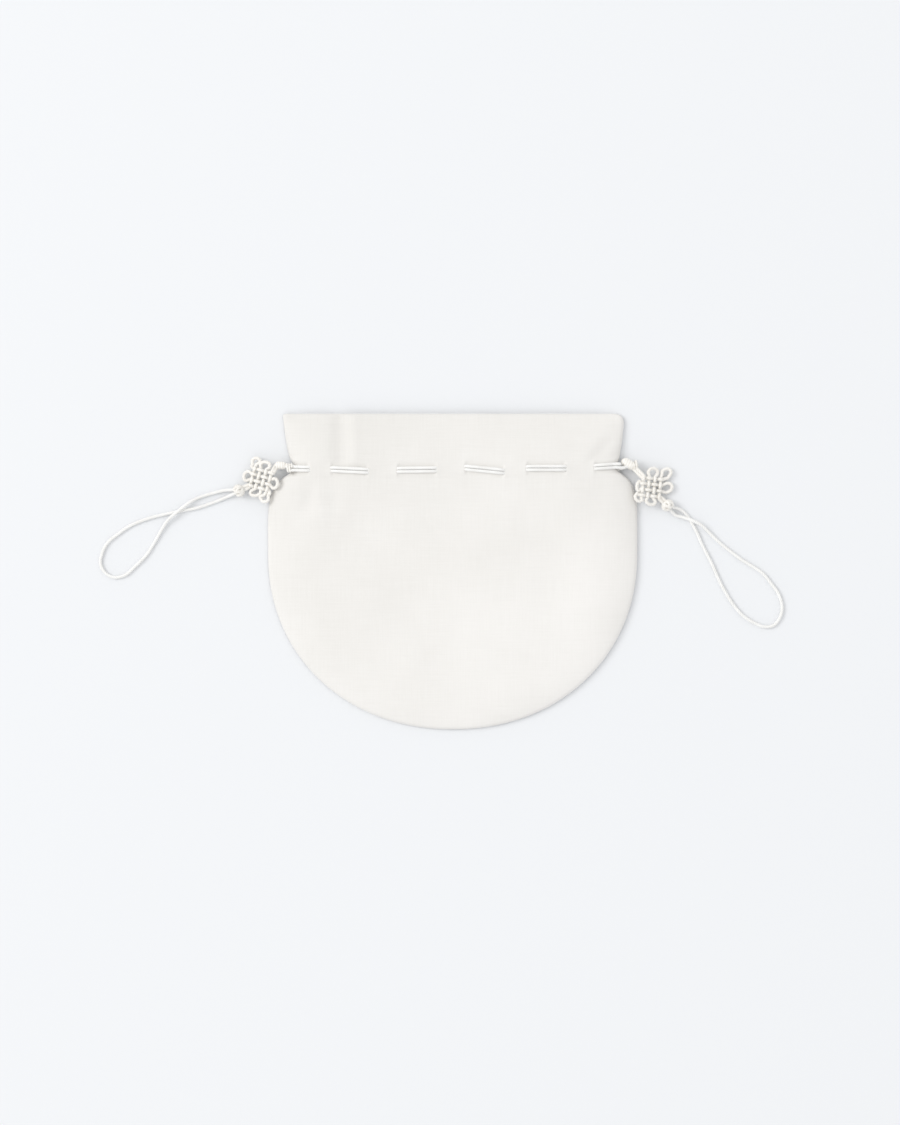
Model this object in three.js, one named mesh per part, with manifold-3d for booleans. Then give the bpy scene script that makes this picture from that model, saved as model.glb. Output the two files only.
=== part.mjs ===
// Korean jumeoni: a linen drawstring pouch lying flat, with a tied cord, a knot and a loop at each side.
// Millimetres. X runs across the pouch, Y from the bottom seam to the mouth, Z up from the surface it lies on.

import * as THREE from "three";
import { mergeVertices } from "three/addons/utils/BufferGeometryUtils.js";
import Module from "manifold-3d";

const wasm = await Module();
wasm.setup();

// Driving dimensions of the pouch
const BELLY_WIDTH = 139;
const BELLY_DROP = 65.9;
const BELLY_ROUNDNESS = 2.1;
const SIDE_RISE = 52.9;
const NECK_RISE = 32.1;
const LEFT_CORNER_RADIUS = 1;
const RIGHT_CORNER_RADIUS = 3.5;
const NOTCH_DEPTH = 1.3;
const NOTCH_WIDTH = 2.6;

// Driving dimensions of the cloth walls and of the room between them
const CLOTH = 1;
const SEAM_GAP = 0.3;
const SEAM_LIFT = 0.7;
const SEAM_BAND = 0.08;
const BELLY_ROOM = 6.6;
const NECK_ROOM = 5.9;
const MOUTH_ROOM = 5.9;
const BELLY_FULLNESS = 4;
const NECK_FULLNESS = 8;
const ROOM_POWER = 0.75;
const FOLD_DEPTH = 1;
const FOLD_WIDTH = 3.2;
const FOLD_FADE = 0.06;
const FOLD_SEAM_FADE = [0.86, 0.98];

// Driving dimensions of the cord and of the knots
const CORD = 1.3;
const CORD_SIDES = 8;
const CORD_CLEARANCE = 0.35;
const FLOOR_CLEARANCE = 0.1;
const LANE = 0.85;
const DIVE = 6.2;
const SLIT_LENGTH = 7.2;
const LATTICE_PITCH = 1.95;
const STRAND_SIDES = 6;
const STRAND_FIT = 1.04;
const STRAND_JOIN = 0.4;
const LAYER_RISE = 0.555;
const TAIL_SPREAD = 0.68;
const EAR_REACH = 3.5;
const CORNER_EAR_REACH = 4.3;
const INNER_KNOT_RADIUS = 1.75;
const OUTER_KNOT_RADIUS = 2.3;
const KNOT_GAP = 0.3;
const LOOP_STEP = 3.9;
const KNOT_LEAN = 0.28;

// Places that follow from the sizes
const HALF_WIDTH = BELLY_WIDTH / 2;
const BELLY_LINE = (BELLY_DROP - SIDE_RISE) / 2;
const NECK = BELLY_LINE + NECK_RISE;
const MOUTH = BELLY_LINE + SIDE_RISE;
const CORD_RADIUS = CORD / 2;
const BACK_RAISE = CORD + CORD_CLEARANCE + FLOOR_CLEARANCE;
const RAISE_FLAT = LANE + CORD_RADIUS + CORD_CLEARANCE;
const RAISE_SLOPE = 3 * CORD;

// Side edges above the widest line: rise is a share of SIDE_RISE, left and right are shares of HALF_WIDTH
const SIDE_EDGE = [
  { rise: 0.0, left: 1.0, right: 1.0 },
  { rise: 0.25, left: 1.0, right: 1.0 },
  { rise: 0.37, left: 0.992, right: 0.997 },
  { rise: 0.445, left: 0.975, right: 0.987 },
  { rise: 0.52, left: 0.938, right: 0.963 },
  { rise: 0.575, left: 0.898, right: 0.926 },
  { rise: 0.61, left: 0.872, right: 0.903 },
  { rise: 0.645, left: 0.87, right: 0.897 },
  { rise: 0.7, left: 0.886, right: 0.905 },
  { rise: 0.82, left: 0.904, right: 0.919 },
  { rise: 1.0, left: 0.921, right: 0.932 },
];

// Soft folds pressed into the front: at is a share of HALF_WIDTH, from and to are shares of SIDE_RISE,
// depth a share of FOLD_DEPTH and width a share of FOLD_WIDTH
const FOLDS = [
  { name: "collar pleat", at: -0.604, from: 0.62, to: 1.1, depth: 0.95, width: 1.0 },
  { name: "collar pleat lip", at: -0.535, from: 0.62, to: 1.1, depth: -0.35, width: 0.8 },
  { name: "pleat below the cord", at: -0.66, from: 0.34, to: 0.6, depth: 0.45, width: 1.2 },
  { name: "left shoulder pucker", at: -0.77, from: 0.3, to: 0.56, depth: 0.35, width: 0.9 },
  { name: "right shoulder pucker", at: 0.8, from: 0.36, to: 0.58, depth: 0.3, width: 1.1 },
];

// Visible stitches of the drawstring: from and to are shares of HALF_WIDTH, start and end are how far
// the stitch lies above the neck line, as shares of CORD. The outer two run off the pouch's edges.
const STITCHES = [
  { from: -1.0, to: -0.776, start: 0.3, end: -0.05 },
  { from: -0.653, to: -0.458, start: -0.15, end: -0.7 },
  { from: -0.295, to: -0.091, start: -0.4, end: -0.25 },
  { from: 0.069, to: 0.276, start: 0.25, end: -0.85 },
  { from: 0.401, to: 0.609, start: 0.15, end: 0.15 },
  { from: 0.768, to: 1.0, start: 0.45, end: 1.35 },
];

// Rows of the cloth, as shares of each band of it, and its columns, as shares of the half width
const DROP_STEPS = 10;
const SHOULDER_ROWS = [0, 0.26, 0.5, 0.72, 0.89];
const RAISE_ROWS = [1, 0];
const COLLAR_ROWS = [0.5];
const CORNER_ROWS = [0, 0.5, 0.87, 1];
const FRONT_COLUMNS = [
  -1, -0.965, -0.9, -0.81, -0.72, -0.665, -0.62, -0.575, -0.52, -0.38, -0.15, 0.1, 0.35, 0.56, 0.76,
  0.89, 0.965, 1,
];
const BACK_COLUMNS = [-1, -0.965, -0.9, -0.7, -0.42, -0.14, 0.14, 0.42, 0.7, 0.9, 0.965, 1];

const clamp = (value, low, high) => Math.min(high, Math.max(low, value));
const mix = (a, b, share) => a + (b - a) * share;
const smooth = (value, low, high) => {
  const t = clamp((value - low) / (high - low), 0, 1);
  return t * t * (3 - 2 * t);
};
const bell = (value, centre, width) => Math.exp(-(((value - centre) / width) ** 2));
const point = (x, y, z) => new THREE.Vector3(x, y, z);

// Outline of the pouch

// Half width of the pouch at height y on one side, "left" or "right".
function halfWidth(y, side) {
  if (y <= BELLY_LINE) {
    const drop = clamp((BELLY_LINE - y) / BELLY_DROP, 0, 1);
    return HALF_WIDTH * (1 - drop ** BELLY_ROUNDNESS) ** (1 / BELLY_ROUNDNESS);
  }
  const rise = (y - BELLY_LINE) / SIDE_RISE;
  const last = SIDE_EDGE.length - 2;
  const i = clamp(SIDE_EDGE.findIndex((row) => row.rise > rise) - 1, 0, last);
  const at = rise >= 1 ? last : i;
  const low = SIDE_EDGE[at];
  const high = SIDE_EDGE[at + 1];
  const before = SIDE_EDGE[Math.max(at - 1, 0)];
  const after = SIDE_EDGE[Math.min(at + 2, last + 1)];
  const t = (rise - low.rise) / (high.rise - low.rise);
  const span = high.rise - low.rise;
  const slopeLow = (high[side] - before[side]) / Math.max(high.rise - before.rise, span);
  const slopeHigh = (after[side] - low[side]) / Math.max(after.rise - low.rise, span);
  const share =
    (2 * t ** 3 - 3 * t ** 2 + 1) * low[side] +
    (t ** 3 - 2 * t ** 2 + t) * span * slopeLow +
    (3 * t ** 2 - 2 * t ** 3) * high[side] +
    (t ** 3 - t ** 2) * span * slopeHigh;
  const notch = NOTCH_DEPTH * bell(y, NECK - CORD_RADIUS, NOTCH_WIDTH);
  const radius = side === "left" ? LEFT_CORNER_RADIUS : RIGHT_CORNER_RADIUS;
  const overCorner = clamp((y - MOUTH + radius) / radius, 0, 1);
  return share * HALF_WIDTH - notch - radius * (1 - Math.sqrt(1 - overCorner ** 2));
}

// How far a point is out from the middle, from 0 to 1 at the seam.
function outward(x, y) {
  const side = x < 0 ? "left" : "right";
  if (y >= BELLY_LINE) return clamp(Math.abs(x) / halfWidth(y, side), 0, 1);
  const across = Math.abs(x) / HALF_WIDTH;
  const down = (BELLY_LINE - y) / BELLY_DROP;
  return clamp((across ** BELLY_ROUNDNESS + down ** BELLY_ROUNDNESS) ** (1 / BELLY_ROUNDNESS), 0, 1);
}

// Heights of the cloth

const nearNeck = (y) => 1 - smooth(Math.abs(y - NECK), RAISE_FLAT, RAISE_FLAT + RAISE_SLOPE);

// Underside of the back wall: flat on the surface, lifted at the seam and over the drawstring.
function backUnder(x, y) {
  const lift = SEAM_LIFT * smooth(outward(x, y), 1 - SEAM_BAND, 1);
  return Math.max(lift, BACK_RAISE * nearNeck(y));
}

const backTop = (x, y) => backUnder(x, y) + CLOTH;

// Height of the room between the walls.
function room(x, y) {
  const towardsNeck = smooth(y, BELLY_LINE + NECK_RISE / 2, NECK - RAISE_FLAT);
  const towardsMouth = smooth(y, NECK + RAISE_FLAT, MOUTH);
  const height = mix(mix(BELLY_ROOM, NECK_ROOM, towardsNeck), MOUTH_ROOM, towardsMouth);
  const fullness = mix(BELLY_FULLNESS, NECK_FULLNESS, towardsNeck);
  return height * (1 - outward(x, y) ** fullness) ** ROOM_POWER;
}

// Depth of the folds in the front wall, which fade at their ends and towards the seam.
function foldDepth(x, y) {
  const rise = (y - BELLY_LINE) / SIDE_RISE;
  let depth = 0;
  for (const fold of FOLDS) {
    const begun = smooth(rise, fold.from - FOLD_FADE, fold.from + FOLD_FADE);
    const ended = smooth(rise, fold.to - FOLD_FADE, fold.to + FOLD_FADE);
    const across = bell(x, fold.at * HALF_WIDTH, FOLD_WIDTH * fold.width);
    depth += FOLD_DEPTH * fold.depth * begun * (1 - ended) * across;
  }
  return depth * (1 - smooth(outward(x, y), ...FOLD_SEAM_FADE));
}

const frontUnder = (x, y) => backTop(x, y) + SEAM_GAP + room(x, y) - foldDepth(x, y);
const frontTop = (x, y) => frontUnder(x, y) + CLOTH;

// Meshes and solids

// A manifold solid of a closed geometry, whose shared corners are merged first.
function solidOf(geometry) {
  const bare = new THREE.BufferGeometry();
  bare.setAttribute("position", geometry.getAttribute("position").clone());
  if (geometry.index) bare.setIndex(geometry.index.clone());
  const merged = mergeVertices(bare, 1e-4);
  return new wasm.Manifold(
    new wasm.Mesh({
      numProp: 3,
      vertProperties: new Float32Array(merged.attributes.position.array),
      triVerts: new Uint32Array(merged.index.array),
    }),
  );
}

// A geometry with flat faces of a manifold solid.
function geometryOf(solid) {
  const mesh = solid.getMesh();
  const indexed = new THREE.BufferGeometry();
  indexed.setAttribute("position", new THREE.BufferAttribute(mesh.vertProperties, mesh.numProp));
  indexed.setIndex(new THREE.BufferAttribute(mesh.triVerts, 1));
  const flat = indexed.toNonIndexed();
  flat.computeVertexNormals();
  return flat;
}

// A cloth wall between two height functions, over the rows and columns of the outline. The lowest row is
// the single point at the bottom of the seam.
function clothWall(columns, underside, topside) {
  const rows = rowHeights();
  const positions = [];
  const place = (height) => {
    const first = positions.length / 3;
    positions.push(0, rows[0], height(0, rows[0]));
    for (const y of rows.slice(1)) {
      for (const column of columns) {
        const x = column * halfWidth(y, column < 0 ? "left" : "right");
        positions.push(x, y, height(x, y));
      }
    }
    return (row, column) => first + (row === 0 ? 0 : 1 + (row - 1) * columns.length + column);
  };
  const top = place(topside);
  const under = place(underside);
  const faces = [];
  const quad = (a, b, c, d) => {
    if (a !== b) faces.push(a, b, c);
    if (c !== d) faces.push(a, c, d);
  };
  const lastColumn = columns.length - 1;
  const lastRow = rows.length - 1;
  for (let row = 0; row < lastRow; row++) {
    for (let column = 0; column < lastColumn; column++) {
      quad(top(row, column), top(row, column + 1), top(row + 1, column + 1), top(row + 1, column));
      quad(under(row, column + 1), under(row, column), under(row + 1, column), under(row + 1, column + 1));
    }
    quad(under(row, 0), top(row, 0), top(row + 1, 0), under(row + 1, 0));
    quad(top(row, lastColumn), under(row, lastColumn), under(row + 1, lastColumn), top(row + 1, lastColumn));
  }
  for (let column = 0; column < lastColumn; column++) {
    quad(top(lastRow, column), top(lastRow, column + 1), under(lastRow, column + 1), under(lastRow, column));
  }
  const geometry = new THREE.BufferGeometry();
  geometry.setAttribute("position", new THREE.BufferAttribute(new Float32Array(positions), 3));
  geometry.setIndex(faces);
  return geometry;
}

// Heights of the rows, from the bottom of the seam to the mouth.
function rowHeights() {
  const rows = [];
  for (let i = 0; i < DROP_STEPS; i++) {
    rows.push(BELLY_LINE - BELLY_DROP * Math.cos((i / DROP_STEPS) * (Math.PI / 2)));
  }
  const raises = RAISE_ROWS.map((share) => RAISE_FLAT + share * RAISE_SLOPE);
  const shoulderTop = NECK - raises[0];
  const collarFoot = NECK + raises[0];
  const cornerFoot = MOUTH - RIGHT_CORNER_RADIUS;
  rows.push(...SHOULDER_ROWS.map((share) => mix(BELLY_LINE, shoulderTop, share)));
  rows.push(...raises.map((raise) => NECK - raise), NECK);
  rows.push(...raises.toReversed().map((raise) => NECK + raise));
  rows.push(...COLLAR_ROWS.map((share) => mix(collarFoot, cornerFoot, share)));
  rows.push(...CORNER_ROWS.map((share) => mix(cornerFoot, MOUTH, share)));
  return rows;
}

// The drawstring's way through the cloth

// Height of a stitch's middle line above or below the neck line, along the whole front.
function stitchDrift(x) {
  const ends = STITCHES.flatMap((stitch) => [
    { x: stitch.from * HALF_WIDTH, drift: stitch.start * CORD },
    { x: stitch.to * HALF_WIDTH, drift: stitch.end * CORD },
  ]);
  const next = clamp(
    ends.findIndex((end) => end.x > x),
    1,
    ends.length - 1,
  );
  const low = ends[next - 1];
  const high = ends[next];
  return mix(low.drift, high.drift, clamp((x - low.x) / (high.x - low.x), 0, 1));
}

// Places along X where a cord passes through the cloth, with +1 where it comes out going towards +X.
const DIVES = STITCHES.flatMap((stitch, i) => [
  ...(i > 0 ? [{ x: stitch.from * HALF_WIDTH, turn: 1 }] : []),
  ...(i < STITCHES.length - 1 ? [{ x: stitch.to * HALF_WIDTH, turn: -1 }] : []),
]);

// A point of the cord in one wall, where out is 1 on the outside of the cloth and 0 on its inside. On the
// outside the cord clears the highest cloth within its own radius.
function cordPoint(wall, lane, x, out) {
  const y = NECK + (wall === "front" ? stitchDrift(x) : 0) + lane;
  const away = CORD_CLEARANCE + CORD_RADIUS;
  const beside = [x - CORD_RADIUS, x, x + CORD_RADIUS];
  const levels =
    wall === "front"
      ? [frontUnder(x, y) - away, Math.max(...beside.map((near) => frontTop(near, y))) + away]
      : [backTop(x, y) + away, BACK_RAISE - away];
  return point(x, y, mix(levels[0], levels[1], out));
}

// The cord's points through one wall, from the left edge of the neck to the right.
function channel(wall, lane) {
  const points = [];
  let last = -halfWidth(NECK, "left");
  let out = 1;
  for (const dive of DIVES) {
    if (out) points.push(cordPoint(wall, lane, (last + dive.x) / 2, out));
    for (const share of [-1, -1 / 3, 1 / 3, 1]) {
      const part = 0.5 + (dive.turn * Math.sin((share * Math.PI) / 2)) / 2;
      points.push(cordPoint(wall, lane, dive.x + (share * DIVE) / 2, part));
    }
    last = dive.x;
    out = dive.turn > 0 ? 1 : 0;
  }
  points.push(cordPoint(wall, lane, (last + halfWidth(NECK, "right")) / 2, out));
  return points;
}

// The cord's turn round the edge of the neck, from the front to the back; reach is +1 on the right. It keeps
// the same distance from the two corners of the cloth and crosses over to its place at the back below them.
function edgeTurn(lane, reach) {
  const side = reach < 0 ? "left" : "right";
  const edge = reach * halfWidth(NECK, side);
  const start = cordPoint("front", lane, edge, 1);
  const end = cordPoint("back", lane, edge, 1);
  const away = CORD_CLEARANCE + CORD_RADIUS;
  return [0, 1, 2, 3, 4, 5].map((step) => {
    const round = ((step < 3 ? step : step - 1) / 4) * Math.PI;
    const corner = step < 3 ? start.z - away : end.z + away;
    const y = mix(start.y, end.y, smooth(step, 2, 5));
    const beside = [y - CORD_RADIUS, y, y + CORD_RADIUS].map((near) => halfWidth(near, side));
    return point(reach * (Math.max(...beside) + away * Math.sin(round)), y, corner + away * Math.cos(round));
  });
}

// Corners of a slit: along is a share of half its length and across a share of half its breadth
const SLIT_CORNERS = [
  { along: -1, across: 0 },
  { along: -0.8, across: -1 },
  { along: 0.8, across: -1 },
  { along: 1, across: 0 },
  { along: 0.8, across: 1 },
  { along: -0.8, across: 1 },
];

// Slits in a wall, one round each place where the cords pass through it.
function slits(wall) {
  const halfLength = SLIT_LENGTH / 2;
  const halfBreadth = LANE + CORD_RADIUS + CORD_CLEARANCE;
  const height = BELLY_ROOM + 6 * CLOTH;
  const outline = new THREE.Shape(
    SLIT_CORNERS.map((row) => new THREE.Vector2(row.along * halfLength, row.across * halfBreadth)),
  );
  return DIVES.map((dive) => {
    const prism = new THREE.ExtrudeGeometry(outline, { depth: height, bevelEnabled: false });
    const y = NECK + (wall === "front" ? stitchDrift(dive.x) : 0);
    const foot = wall === "front" ? frontUnder(dive.x, y) - 2 * CLOTH : -CLOTH;
    prism.translate(dive.x, y, foot);
    return prism;
  });
}

// Tubes

// A line of points that an extrusion follows, with one step at each point.
class PointPath extends THREE.Curve {
  constructor(points) {
    super();
    this.points = points;
  }

  getPoint(t, target = new THREE.Vector3()) {
    const last = this.points.length - 1;
    const i = Math.min(Math.floor(t * last + 1e-9), last - 1);
    return target.lerpVectors(this.points[i], this.points[i + 1], t * last - i);
  }

  getPointAt(u, target) {
    return this.getPoint(u, target);
  }

  getTangent(t, target = new THREE.Vector3()) {
    const last = this.points.length - 1;
    const i = Math.round(t * last);
    const before = this.points[Math.max(i - 1, 0)];
    const after = this.points[Math.min(i + 1, last)];
    return target.subVectors(after, before).normalize();
  }

  getTangentAt(u, target) {
    return this.getTangent(u, target);
  }
}

// A path that is never upright, whose section keeps one side facing up all along it.
class LevelPath extends PointPath {
  computeFrenetFrames(segments) {
    const up = point(0, 0, 1);
    const tangents = [];
    const normals = [];
    const binormals = [];
    for (let i = 0; i <= segments; i++) {
      const tangent = this.getTangent(i / segments);
      const binormal = point(0, 0, 0).crossVectors(tangent, up).normalize();
      tangents.push(tangent);
      binormals.push(binormal);
      normals.push(point(0, 0, 0).crossVectors(binormal, tangent));
    }
    return { tangents, normals, binormals };
  }
}

// A round tube along a path of points.
function tube(path, radius, sides) {
  const section = new THREE.Shape();
  for (let i = 0; i < sides; i++) {
    const angle = ((i + 0.5) / sides) * 2 * Math.PI;
    const corner = [radius * Math.cos(angle), radius * Math.sin(angle)];
    if (i === 0) section.moveTo(...corner);
    else section.lineTo(...corner);
  }
  section.closePath();
  return new THREE.ExtrudeGeometry(section, {
    steps: path.points.length - 1,
    bevelEnabled: false,
    extrudePath: path,
  });
}

// Knots

// Where the knots of each side lie: inner is counted from the edge of the neck, flower from the inner knot
// and outer from the flower knot.
const SIDES = {
  left: { reach: -1, lane: LANE, inner: [-5.3, 0.6], flower: [-7.3, -4.5], outer: [-8.3, -4.3] },
  right: { reach: 1, lane: -LANE, inner: [7, 1.3], flower: [6, -8.2], outer: [6.2, -6.8] },
};

// Centres and direction of the knots on one side.
function knotPlaces(name) {
  const side = SIDES[name];
  const edge = side.reach * halfWidth(NECK, name);
  const inner = point(edge + side.inner[0], NECK + side.inner[1], INNER_KNOT_RADIUS + FLOOR_CLEARANCE);
  const flower = point(inner.x + side.flower[0], inner.y + side.flower[1], CORD + FLOOR_CLEARANCE);
  const outer = point(flower.x + side.outer[0], flower.y + side.outer[1], OUTER_KNOT_RADIUS + FLOOR_CLEARANCE);
  const along = outer.clone().sub(inner).setZ(0).normalize();
  return { inner, flower, outer, along, across: point(-along.y, along.x, 0) };
}

// A button knot: a small ball of two turns of cord round its axis. Rows are shares of its radius.
const BUTTON_PROFILE = [
  { out: 0, along: -1 },
  { out: 0.5, along: -0.86 },
  { out: 0.84, along: -0.54 },
  { out: 0.97, along: -0.22 },
  { out: 0.87, along: 0 },
  { out: 0.97, along: 0.22 },
  { out: 0.84, along: 0.54 },
  { out: 0.5, along: 0.86 },
  { out: 0, along: 1 },
];

function buttonKnot(centre, along, radius) {
  const profile = BUTTON_PROFILE.map((row) => new THREE.Vector2(row.out * radius, row.along * radius));
  const knot = new THREE.LatheGeometry(profile, CORD_SIDES);
  const turn = new THREE.Quaternion().setFromUnitVectors(point(0, 1, 0), along);
  knot.applyQuaternion(turn);
  knot.translate(centre.x, centre.y, centre.z);
  return knot;
}

// Side ear of the flower knot: across and along are shares of LATTICE_PITCH and of EAR_REACH
const SIDE_EAR = [
  { across: 0.5, along: -0.08 },
  { across: 0.62, along: 0.25 },
  { across: 0.76, along: 0.55 },
  { across: 0.5, along: 0.86 },
  { across: 0, along: 1 },
];

// Half of a corner ear, from its side to its tip: both are shares of CORNER_EAR_REACH from the outer line
const CORNER_EAR = [
  { across: 0, along: 0.08 },
  { across: -0.05, along: 0.36 },
  { across: 0.05, along: 0.62 },
  { across: 0.29, along: 0.79 },
  { across: 0.66, along: 0.58 },
];

// Lowest height at which a strand's middle clears the pouch, or nothing where it lies beside it.
function overPouch(name, x, y) {
  if (Math.abs(x) - halfWidth(y, name) > CORD_RADIUS + CORD_CLEARANCE) return 0;
  const beside = [x - CORD_RADIUS, x, x + CORD_RADIUS].map((near) => frontTop(near, y));
  return Math.max(...beside) + CORD_CLEARANCE + CORD_RADIUS;
}

// The flower knot: four lines one way lying on four lines the other way, with three ears at each side and
// two ends at its near and its far corner. It leans on the seam of the pouch, and its near ears lie on it.
function flowerKnot(name) {
  const { inner, flower, outer, along, across } = knotPlaces(name);
  const p = along.clone().add(across).normalize();
  const q = along.clone().sub(across).normalize();
  const lines = [0, 1, 2, 3].map((i) => (i - 1.5) * LATTICE_PITCH);
  const outerLine = lines[3];
  const end = outerLine + CORD_RADIUS;
  const corner = Math.SQRT2 * (outerLine + CORD_RADIUS);
  const at = (pShift, qShift, rise) => {
    const place = flower.clone().addScaledVector(p, pShift).addScaledVector(q, qShift);
    const towards = SIDES[name].reach * (flower.x - place.x) + corner;
    const leaning = flower.z + rise + KNOT_LEAN * Math.max(towards, 0);
    return place.setZ(Math.max(leaning, overPouch(name, place.x, place.y)));
  };
  const tail = (knot, radius, shift, rise) => {
    const away = flower.clone().sub(knot).setZ(0).normalize();
    const run = Math.sqrt((radius + 1.5 * KNOT_GAP) ** 2 - rise ** 2);
    const place = knot.clone().addScaledVector(away, run).addScaledVector(across, shift);
    return place.setZ(knot.z + rise);
  };
  // A place on a line of the lattice; pLine is true where the line keeps its place along p.
  const onLine = (i, run, pLine) => (pLine ? at(lines[i], run, LAYER_RISE) : at(run, lines[i], -LAYER_RISE));
  const sideEar = (pLine, face, hand) =>
    SIDE_EAR.map((row) => {
      const run = face * (end + row.along * EAR_REACH);
      const shift = hand * row.across * LATTICE_PITCH;
      return pLine ? at(shift, run, LAYER_RISE) : at(run, shift, -LAYER_RISE);
    });
  const cornerEar = (face, pLine) =>
    CORNER_EAR.map((row) => {
      const near = outerLine + row.across * CORNER_EAR_REACH;
      const far = outerLine + row.along * CORNER_EAR_REACH;
      const rise = (pLine ? LAYER_RISE : -LAYER_RISE) * (1 - Math.max(row.across, 0));
      return pLine ? at(-face * near, face * far, rise) : at(-face * far, face * near, rise);
    });
  const tubes = [];
  const addStrand = (points, size) => tubes.push(tube(new LevelPath(points), size, STRAND_SIDES));
  // Strands that lie on each other differ a little in size, so that no two of their faces are in one plane.
  const fitted = STRAND_FIT * CORD_RADIUS;
  for (const pLine of [true, false]) {
    const shift = pLine ? TAIL_SPREAD : -TAIL_SPREAD;
    const radius = pLine ? CORD_RADIUS : fitted;
    // The two outer lines run from an end of the knot to the tip of a corner ear.
    const entry = tail(inner, INNER_KNOT_RADIUS, shift, 0.5 * INNER_KNOT_RADIUS);
    const exit = tail(outer, OUTER_KNOT_RADIUS, -shift, -0.3 * OUTER_KNOT_RADIUS);
    const first = [entry, onLine(0, -end, pLine), ...cornerEar(pLine ? 1 : -1, pLine)];
    const last = [exit, onLine(3, end, pLine), ...cornerEar(pLine ? -1 : 1, pLine)];
    addStrand(first, radius);
    addStrand(last, radius);
    // The two inner lines make a ring with an ear at each end, in two halves that meet in the lattice.
    for (const face of [-1, 1]) {
      const going = [onLine(1, -face * STRAND_JOIN, pLine), ...sideEar(pLine, face, -1)];
      const coming = [onLine(2, -face * STRAND_JOIN, pLine), ...sideEar(pLine, face, 1)];
      addStrand([...going, ...coming.reverse().slice(1)], face < 0 ? CORD_RADIUS : fitted);
    }
  }
  const fused = tubes.map(solidOf).reduce((knot, strand) => knot.add(strand));
  // Pockets shut in between touching strands are filled: the outer skin is the largest shell.
  return fused.decompose().reduce((skin, shell) => (shell.volume() > skin.volume() ? shell : skin));
}

// Cords

// The whole drawstring of one side: from its inner knot through the front, round the far edge of the neck
// and back to the knot through the back.
function drawstringRoute(name) {
  const side = SIDES[name];
  const { inner } = knotPlaces(name);
  const reach = side.reach;
  const edge = reach * halfWidth(NECK, name);
  const order = (points) => (reach < 0 ? points : points.reverse());
  const towardsEdge = edge - inner.x;
  const knotEnd = (rise) => {
    const away = INNER_KNOT_RADIUS + KNOT_GAP + 0.2 * CORD;
    const run = Math.sqrt(away ** 2 - rise ** 2);
    return point(inner.x + Math.sign(towardsEdge) * run, inner.y, inner.z + rise);
  };
  const frontEdge = cordPoint("front", side.lane, edge, 1);
  const backEdge = cordPoint("back", side.lane, edge, 1);
  const frontEnd = knotEnd(0.55 * INNER_KNOT_RADIUS);
  const backEnd = knotEnd(-0.45 * INNER_KNOT_RADIUS);
  const frontSlope = frontEdge.clone().lerp(frontEnd, 0.5);
  frontSlope.y += 0.4 * CORD * Math.sign(side.lane);
  frontSlope.z += 0.4 * CORD;
  const backSlope = backEdge.clone().lerp(backEnd, 0.6);
  backSlope.z = backEdge.z;
  return [
    frontEnd,
    frontSlope,
    frontEdge,
    ...order(channel("front", side.lane)),
    ...edgeTurn(side.lane, -reach),
    ...order(channel("back", side.lane)).reverse(),
    backEdge,
    backSlope,
    backEnd,
  ];
}

// Route of each end loop, counted from the middle of its outer knot. The third number is the height of the
// cord's middle over the surface, where it isn't lying flat.
const LOOP_ROUTES = {
  left: [
    [-2.55, 0.3, 1.5],
    [-5.6, 0.1, 1.05],
    [-9, -0.7],
    [-12.9, -1.8],
    [-16.4, -3.1, 1.0],
    [-19.3, -4.9, 1.75],
    [-23.1, -7.9, 2.2],
    [-26.7, -11, 1.7],
    [-29, -14.4, 1.0],
    [-32.1, -19.8],
    [-35.1, -24.4],
    [-39.3, -28.6],
    [-42.8, -31.65],
    [-47, -32.6],
    [-50.4, -30.9],
    [-52.2, -27.45],
    [-51.6, -23.6],
    [-49.7, -19.8],
    [-46.2, -16.7],
    [-41.25, -13.3],
    [-35.9, -11],
    [-30, -9.3],
    [-21.4, -7.5],
    [-15.6, -6.4],
    [-8.4, -3.9],
    [-5, -2.5, 1.0],
    [-2.3, -1.4, 1.5],
  ],
  right: [
    [1.1, -2.45, 1.5],
    [2.9, -3.6, 1.1],
    [5.5, -4.4, 1.25],
    [9.4, -5.7, 2.2],
    [12.9, -7.6, 1.8],
    [15.8, -10.4, 1.1],
    [19.4, -13.8],
    [23.7, -17.3],
    [27.6, -20.2],
    [31.6, -22.7],
    [35.9, -25.6],
    [39.15, -29.55],
    [41.7, -33.1],
    [43.1, -37.4],
    [42.7, -41.4],
    [40.2, -45],
    [36.6, -45.7],
    [33, -44.4],
    [28.7, -41.7],
    [25.1, -37.8],
    [22.3, -33.5],
    [19.4, -28.1],
    [17.25, -23.1],
    [15.1, -18.8],
    [12.9, -14.5],
    [11.2, -10.5],
    [9.3, -6.9],
    [7.2, -3.6],
    [4.9, -1.6, 1.0],
    [2.35, -1.15, 1.5],
  ],
};

function loopRoute(name) {
  const { outer } = knotPlaces(name);
  const lying = CORD_RADIUS + FLOOR_CLEARANCE;
  const curve = new THREE.CatmullRomCurve3(
    LOOP_ROUTES[name].map(([x, y, z = lying]) => point(outer.x + x, outer.y + y, z)),
  );
  return curve.getSpacedPoints(Math.round(curve.getLength() / LOOP_STEP));
}

// Materials and assembly

const linen = new THREE.MeshStandardMaterial({ color: 0xf3f2ec, roughness: 0.9, metalness: 0 });
const cordSilk = new THREE.MeshStandardMaterial({ color: 0xf6f1e6, roughness: 0.6, metalness: 0 });

const pouch = new THREE.Group();

function addPiece(name, geometry, material) {
  const mesh = new THREE.Mesh(geometry, material);
  mesh.name = name;
  pouch.add(mesh);
}

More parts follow.
